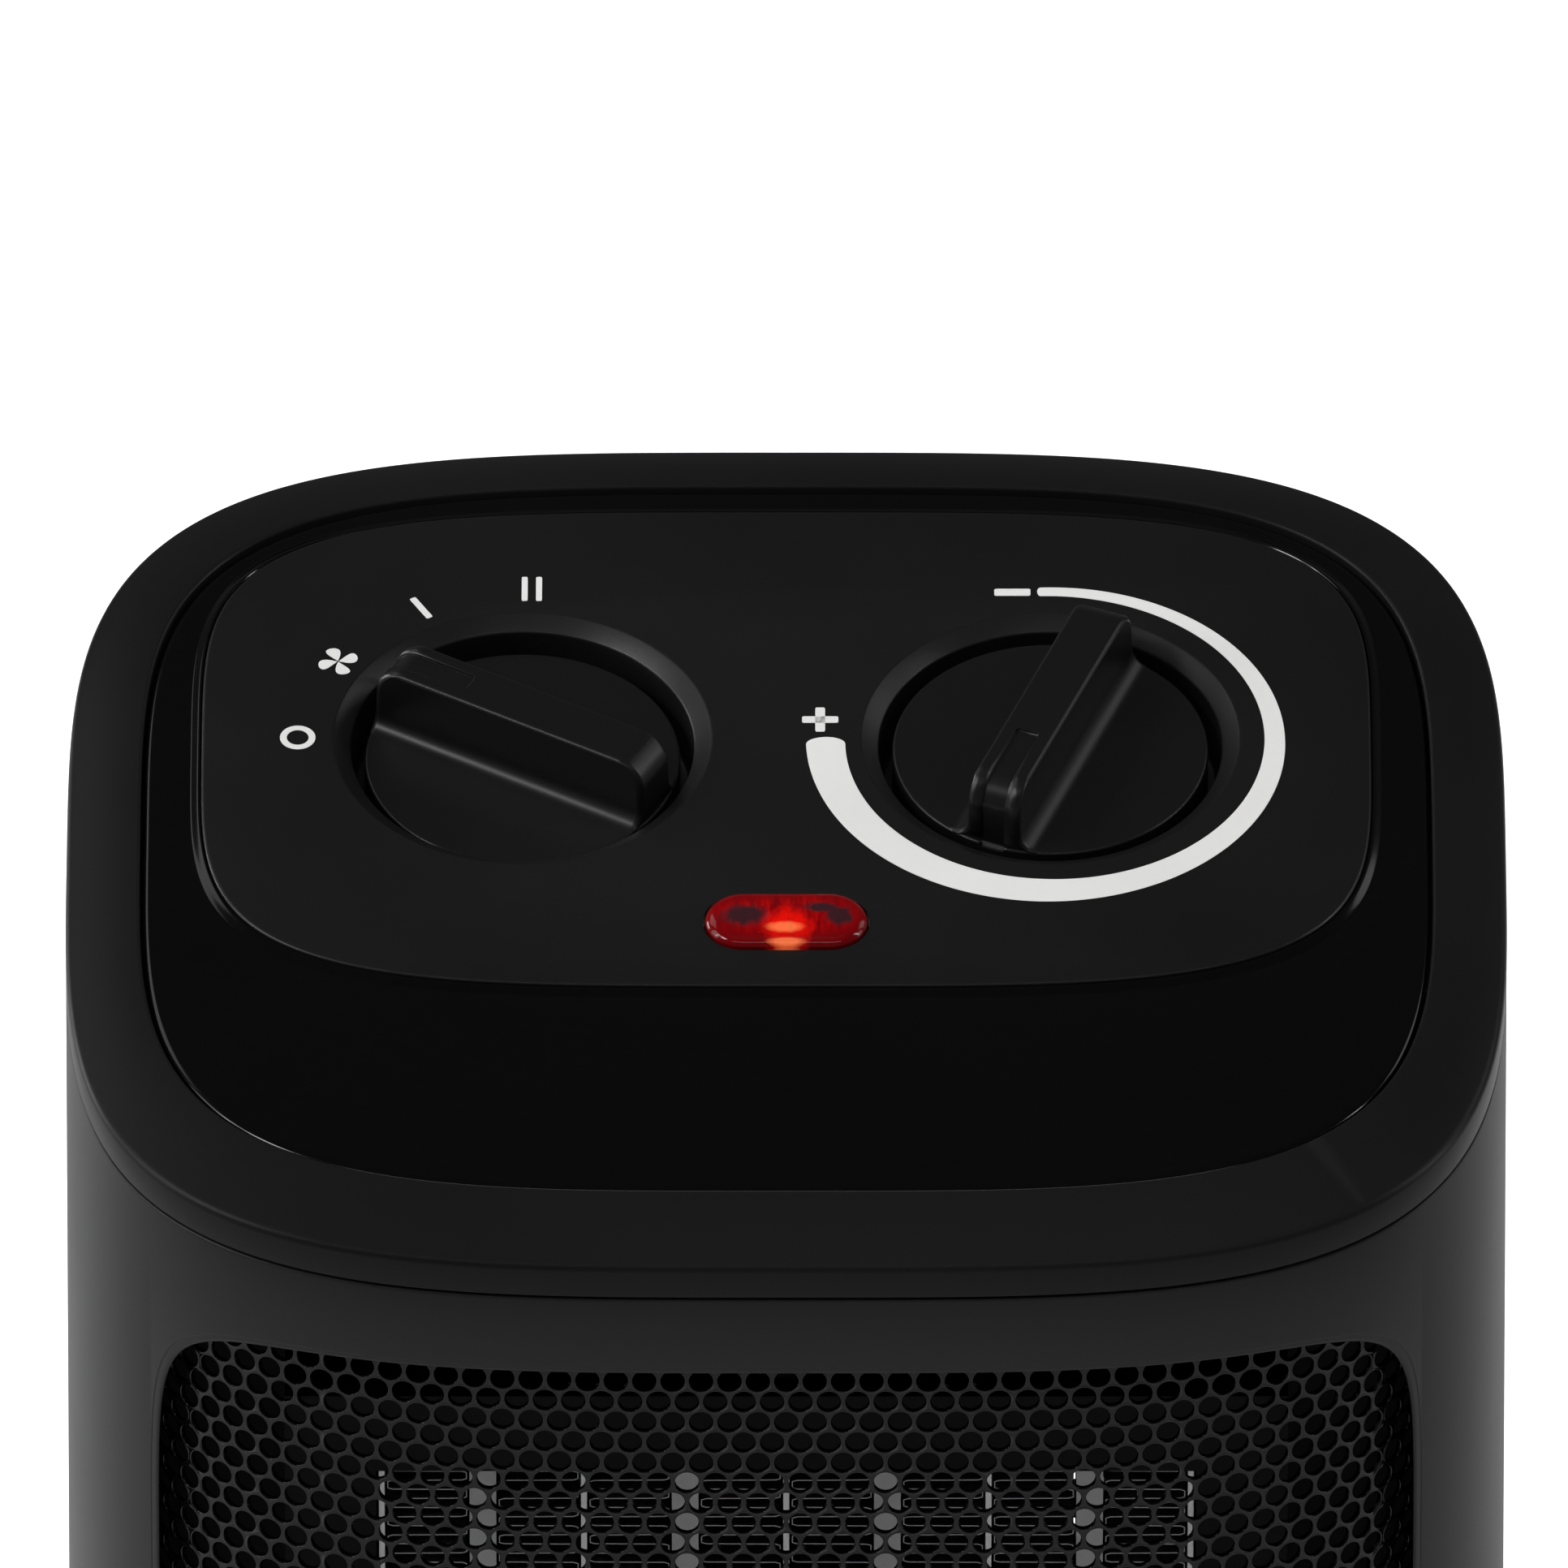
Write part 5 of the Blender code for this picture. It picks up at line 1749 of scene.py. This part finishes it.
@dataclass
class FrontGrille:
    """The curved sheet of round holes behind the window."""

    form: Form
    pitch: float = 3.72 * MM
    row: float = 3.226 * MM
    hole: float = 1.575 * MM
    inset: float = 2.95 * MM
    thick: float = 0.75 * MM
    half_length: float = 100.0 * MM
    above: float = 5.0 * MM
    first_row: float = 195.6 * MM
    segments: int = 18
    strips: int = 4
    bend_share: float = 0.93
    side_end: float = -20.0 * MM
    front_steps: int = 3000
    side_steps: int = 2000
    step: float = 0.1 * MM
    land: float = -0.05 * MM
    lip: Sequence[Pair] = ((0.0, -0.24), (0.04, -0.10), (0.12, 0.0), (0.20, -0.01))
    sharper: float = 80.0

    def path(self) -> tuple[np.ndarray, np.ndarray, np.ndarray]:
        """Length along the sheet from its middle, with X and Y there.

        Returns:
            Three arrays: length, X and Y.
        """
        half_x = self.form.half_x - self.inset
        half_y = self.form.half_y - self.inset
        power = self.form.power
        x_front = np.linspace(0.0, self.bend_share * half_x, self.front_steps)
        y_front = -half_y * (1 - (x_front / half_x) ** power) ** (1 / power)
        y_side = np.linspace(y_front[-1], self.side_end, self.side_steps)[1:]
        x_side = half_x * (1 - (np.abs(y_side) / half_y) ** power) ** (1 / power)
        x, y = np.concatenate([x_front, x_side]), np.concatenate([y_front, y_side])
        along = np.concatenate([[0.0], np.cumsum(np.hypot(np.diff(x), np.diff(y)))])
        return along, x, y

    def bend(self, s: np.ndarray, z: np.ndarray, height: np.ndarray) -> np.ndarray:
        """Wrap flat places round the front, each at its height off the sheet.

        Args:
            s: Length along the sheet from its middle.
            z: Height up the sheet.
            height: Height off the sheet.

        Returns:
            The bent points.
        """
        along, xs, ys = self.path()
        grow = self.form.growth(z)
        reach = np.abs(s)
        x, y = np.interp(reach, along, xs), np.interp(reach, along, ys)
        ahead, behind = reach + self.step, reach - self.step
        dx = np.interp(ahead, along, xs) - np.interp(behind, along, xs)
        dy = np.interp(ahead, along, ys) - np.interp(behind, along, ys)
        size = np.hypot(dx, dy)
        side = np.sign(s)
        out = height + grow
        return np.column_stack([side * (x + out * dy / size), y - out * dx / size, z])

    def template(self) -> tuple[np.ndarray, np.ndarray, np.ndarray]:
        """One cell about its own middle: places along and up, heights, and faces.

        Returns:
            The cell's places, the height of each, and its faces.
        """
        turn = 2 * np.pi * (np.arange(self.segments) + 0.5) / self.segments
        rolled = [(self.hole, -self.thick)]
        rolled += [(self.hole + out * MM, high * MM) for out, high in self.lip]
        flat = [np.stack([q * np.cos(turn), q * np.sin(turn)], axis=1) for q, _ in rolled]
        sector = np.mod(turn + math.pi / 6, math.pi / 3) - math.pi / 6
        edge = self.pitch / 2 / np.cos(sector)
        flat.append(np.stack([edge * np.cos(turn), edge * np.sin(turn)], axis=1))
        heights = np.repeat([h for _, h in rolled] + [self.land], self.segments)
        n = self.segments
        faces = []
        for low in range(0, len(rolled) * n, n):
            for i in range(n):
                j = (i + 1) % n
                faces.append((low + i, low + j, low + n + j, low + n + i))
        return np.vstack(flat), heights, np.array(faces)

    def build(self) -> None:
        """Punch the sheet, in strips of rows."""
        cell, heights, faces = self.template()
        low = self.form.window_bottom - self.above
        rows = int((self.first_row + self.above - low) / self.row)
        top = self.first_row + int(self.above / self.row) * self.row
        places: list[list[Pair]] = [[] for _ in range(self.strips)]
        columns = int(self.half_length / self.pitch)
        for index in range(rows):
            shift = 0.5 * (index % 2)
            z = top - index * self.row
            for column in range(-columns, columns + 1):
                places[index * self.strips // rows].append(((column + shift) * self.pitch, z))
        for number, cells in enumerate(places, 1):
            middles = np.array(cells)
            flat = (middles[:, None, :] + cell[None, :, :]).reshape(-1, 2)
            high = np.tile(heights, len(middles))
            first_points = np.arange(len(middles)) * len(cell)
            quads = (faces[None] + first_points[:, None, None]).reshape(-1, 4)
            key = np.round(np.column_stack([flat, high]) / WELD).astype(np.int64)
            _, first, index = np.unique(key, axis=0, return_index=True, return_inverse=True)
            points = self.bend(flat[first, 0], flat[first, 1], high[first])
            sheet = from_faces(f"grille_{number}", points, index.reshape(-1)[quads].tolist())
            crease(sheet, self.sharper)
            finished(sheet, Finishes.enamel, ["front_grille"])


@dataclass
class HeatingCore:
    """Folded fins between the contact strips and the ceramic bars."""

    form: Form
    units: int = 4
    unit: float = 26.6 * MM
    strip_width: float = 0.8 * MM
    bar_width: float = 3.5 * MM
    height: float = 114.0 * MM
    front: float = -64.25 * MM
    back: float = -44.25 * MM
    fold: float = 2.9 * MM
    sheet: float = 0.16 * MM
    bend_share: float = 0.24
    bend_path: Sequence[Pair] = ((0.15, -0.35), (1.0, -0.05), (1.0, 0.05), (0.15, 0.35))

    def fins(self, number: int, x_low: float, x_high: float) -> None:
        """One bank of fins, folded back and forth between two sides.

        Args:
            number: The bank's number.
            x_low: Its left side.
            x_high: Its right side.
        """
        low = self.form.fan_z - self.height / 2
        folds = int(self.height / self.fold)
        points = []
        bend = self.fold * self.bend_share
        for index in range(folds * 2):
            z = low + (index + 0.5) * self.height / (folds * 2)
            ends = (x_low, x_high) if index % 2 == 0 else (x_high, x_low)
            inward = 1 if ends[1] > ends[0] else -1
            for corner, (across, up) in enumerate(self.bend_path):
                past = corner // 2
                way = -inward if past else inward
                points.append((ends[past] + way * bend * across, z + bend * up))
        path = np.array(points)
        depths = (self.front, (self.front + self.back) / 2, self.back)
        rows = [upright(path, y) for y in depths]
        bank = strip(f"folded_fins_{number}", rows)
        solid = bank.modifiers.new("Sheet", "SOLIDIFY")
        solid.thickness = self.sheet
        solid.offset = 0.0
        settled(bank)
        finished(bank, Finishes.aluminium, [f"fin_bank_{number}"])

    def build(self) -> None:
        """Make every bank of fins."""
        start = -self.units * self.unit / 2
        for index in range(self.units):
            left = start + index * self.unit
            middle = left + self.unit / 2
            inner = self.bar_width / 2 + self.form.gap
            outer = self.unit / 2 - self.strip_width / 2 - self.form.gap
            self.fins(2 * index + 1, middle - outer, middle - inner)
            self.fins(2 * index + 2, middle + inner, middle + outer)


@dataclass
class Hardware:
    """Nodes of the frame that keep their shape and take a finish."""

    finishes: dict[Finish, Sequence[str]] = field(
        default_factory=lambda: {
            Finishes.body: ["base_plate"],
            Finishes.frame: ["heater_frame", "fan_shroud", "fan_impeller", "cord_gland"],
            Finishes.steel: [
                "contact_strip_", "motor_core", "motor_mount", "motor_rotor", "motor_screw_",
                "motor_shaft", "rear_screw_", "rear_bearing", "mode_shaft", "thermostat_shaft",
            ],
            Finishes.aluminium: ["ptc_bar_"],
            Finishes.brass: ["terminal_"],
            Finishes.copper: ["motor_coil"],
            Finishes.bakelite: ["rotary_switch", "thermal_cutout", "thermostat", "tip_switch"],
            Finishes.rubber: ["foot_"],
            Finishes.white: ["tip_plunger"],
        }
    )

    def build(self) -> None:
        """Give every remaining node its finish."""
        for finish, names in self.finishes.items():
            for node, obj in frame["nodes"].items():
                if node in names or node.startswith(tuple(n for n in names if n.endswith("_"))):
                    self.dress(obj, finish)

    def dress(self, obj: Piece, finish: Finish) -> None:
        """Put a finish on a node's own slots.

        Args:
            obj: The node's object.
            finish: The finish that it gets.
        """
        for place in obj.material_slots:
            place.material = finish.build()
        LOG.info("%s: %s", obj.name, finish.slot)


@dataclass(frozen=True)
class SoftLight:
    """A soft rectangular light turned to the heater.

    Attributes:
        name: The light's name.
        place: Where it stands.
        size: Its width and height.
        power: Its power in watts.
        shine: Whether it shows as a reflection.
    """

    name: str
    place: tuple[float, float, float]
    size: Pair
    power: float
    shine: bool = True

    def build(self, target: Vector) -> None:
        """Set up the light, turned to a target.

        Args:
            target: The point that it is turned to.
        """
        data = bpy.data.lights.new(self.name, "AREA")
        data.shape = "RECTANGLE"
        data.size, data.size_y = self.size
        data.energy = self.power
        lamp = bpy.data.objects.new(self.name, data)
        lamp.location = self.place
        lamp.rotation_mode = "QUATERNION"
        lamp.rotation_quaternion = (target - Vector(self.place)).to_track_quat("-Z", "Y")
        lamp.visible_camera = False
        lamp.visible_glossy = self.shine
        bpy.context.scene.collection.objects.link(lamp)


@dataclass
class Studio:
    """Floor, soft lights and camera."""

    floor_size: float = 40.0
    floor_white: float = 0.82
    floor_uneven: float = 0.98
    floor_glow: float = 0.62
    horizon: Pair = (0.0, 0.5)
    around: Pair = (0.12, 0.045)
    aim: tuple[float, float, float] = (-0.0003, 0.0, 0.2346)
    elevation: float = 34.0
    distance: float = 6.0
    lens: float = 1045.0
    sensor: float = 36.0
    lit_height: float = 0.12
    lights: Sequence[SoftLight] = (
        SoftLight("left_soft", (-1.5, -0.05, 0.95), (0.7, 1.3), 7.0),
        SoftLight("left_front", (-1.25, -0.60, 1.45), (0.40, 0.40), 7.5),
        SoftLight("left_back", (-0.95, 0.95, 1.40), (0.7, 0.7), 2.0),
        SoftLight("left_low", (-1.4, 0.80, 0.40), (0.5, 0.6), 8.5),
        SoftLight("right_back", (1.35, 0.80, 1.10), (0.6, 0.9), 2.4),
        SoftLight("right_soft", (1.5, 0.10, 0.50), (0.5, 0.9), 2.2),
        SoftLight("right_edge", (1.5, -0.05, 1.0), (0.12, 1.0), 4.0),
        SoftLight("left_edge", (-1.5, -0.20, 1.0), (0.12, 1.0), 3.5),
        SoftLight("front_edge", (0.0, -1.15, 1.60), (1.8, 0.10), 2.6),
        SoftLight("top_soft", (0.0, -0.1, 2.2), (1.4, 1.0), 20.0, shine=False),
    )

    def floor(self) -> None:
        """A plain pale floor."""
        half = self.floor_size / 2
        low, high = (-half, -half, -1.0 * MM), (half, half, 0.0)
        piece = block("floor", low, high)
        made = bpy.data.materials.new("pale_floor")
        made.use_nodes = True
        graph = Graph(made.node_tree)
        shader = graph.shader
        broad = graph.noise(graph.place((1.0, 1.0, 1.0)), 3.0, 2.0)
        pale = (self.floor_white,) * 3
        darker = tuple(v * self.floor_uneven for v in pale)
        graph.link(graph.mix(broad, pale, darker), shader.inputs["Base Color"])
        shader.inputs["Roughness"].default_value = 0.9
        shader.inputs["Specular IOR Level"].default_value = 0.1
        path = graph.node("ShaderNodeLightPath")
        lit = graph.math("MULTIPLY", path.outputs["Is Camera Ray"], self.floor_glow)
        shader.inputs["Emission Color"].default_value = (1.0, 1.0, 1.0, 1.0)
        graph.link(lit, shader.inputs["Emission Strength"])
        piece.data.materials.append(made)

    def world(self) -> None:
        """Even light from all round, white behind the heater."""
        made = bpy.data.worlds.new("studio")
        made.use_nodes = True
        graph = Graph(made.node_tree)
        back = made.node_tree.nodes["Background"]
        path = graph.node("ShaderNodeLightPath")
        away = graph.node("ShaderNodeTexCoord")
        split = graph.node("ShaderNodeSeparateXYZ")
        graph.link(away.outputs["Generated"], split.inputs[0])
        around = graph.ranged(split.outputs["Z"], self.horizon, self.around)
        back.inputs["Color"].default_value = (1.0, 1.0, 1.0, 1.0)
        strength = graph.math("ADD", path.outputs["Is Camera Ray"], around)
        graph.link(strength, back.inputs["Strength"])
        bpy.context.scene.world = made

    def camera(self) -> None:
        """A long lens, square to the front and above it."""
        data = bpy.data.cameras.new("view")
        data.lens = self.lens
        data.sensor_width = self.sensor
        camera = bpy.data.objects.new("view", data)
        up = math.radians(self.elevation)
        back = Vector((0.0, -math.cos(up), math.sin(up)))
        camera.location = Vector(self.aim) + back * self.distance
        camera.rotation_mode = "QUATERNION"
        camera.rotation_quaternion = (-back).to_track_quat("-Z", "Y")
        bpy.context.scene.collection.objects.link(camera)
        bpy.context.scene.camera = camera

    def build(self) -> None:
        """Set up the whole studio."""
        self.camera()
        self.world()
        self.floor()
        for light in self.lights:
            light.build(Vector((0.0, 0.0, self.lit_height)))
        bpy.context.scene.view_settings.view_transform = "Standard"


def main() -> None:
    """Build every sub-assembly in order."""
    logging.basicConfig(level=logging.INFO, format="%(message)s")
    form = Form()
    panel = ControlPanel(form)
    Studio().build()
    BodyShell(form).build()
    RearCover(form).build()
    TopRim(form).build()
    TopInsert(form).build(panel)
    panel.build()
    DialMarks(form, panel).build()
    RotaryKnob(form, panel, "mode_knob", "mode_knob", 0, 3.6 * MM, 150.0).build()
    RotaryKnob(form, panel, "thermostat_knob", "thermostat_knob", 1, 1.9 * MM, -112.0).build()
    PilotLamp(form, panel).build()
    FrontGrille(form).build()
    HeatingCore(form).build()
    Hardware().build()


if __name__ == "__main__":
    main()
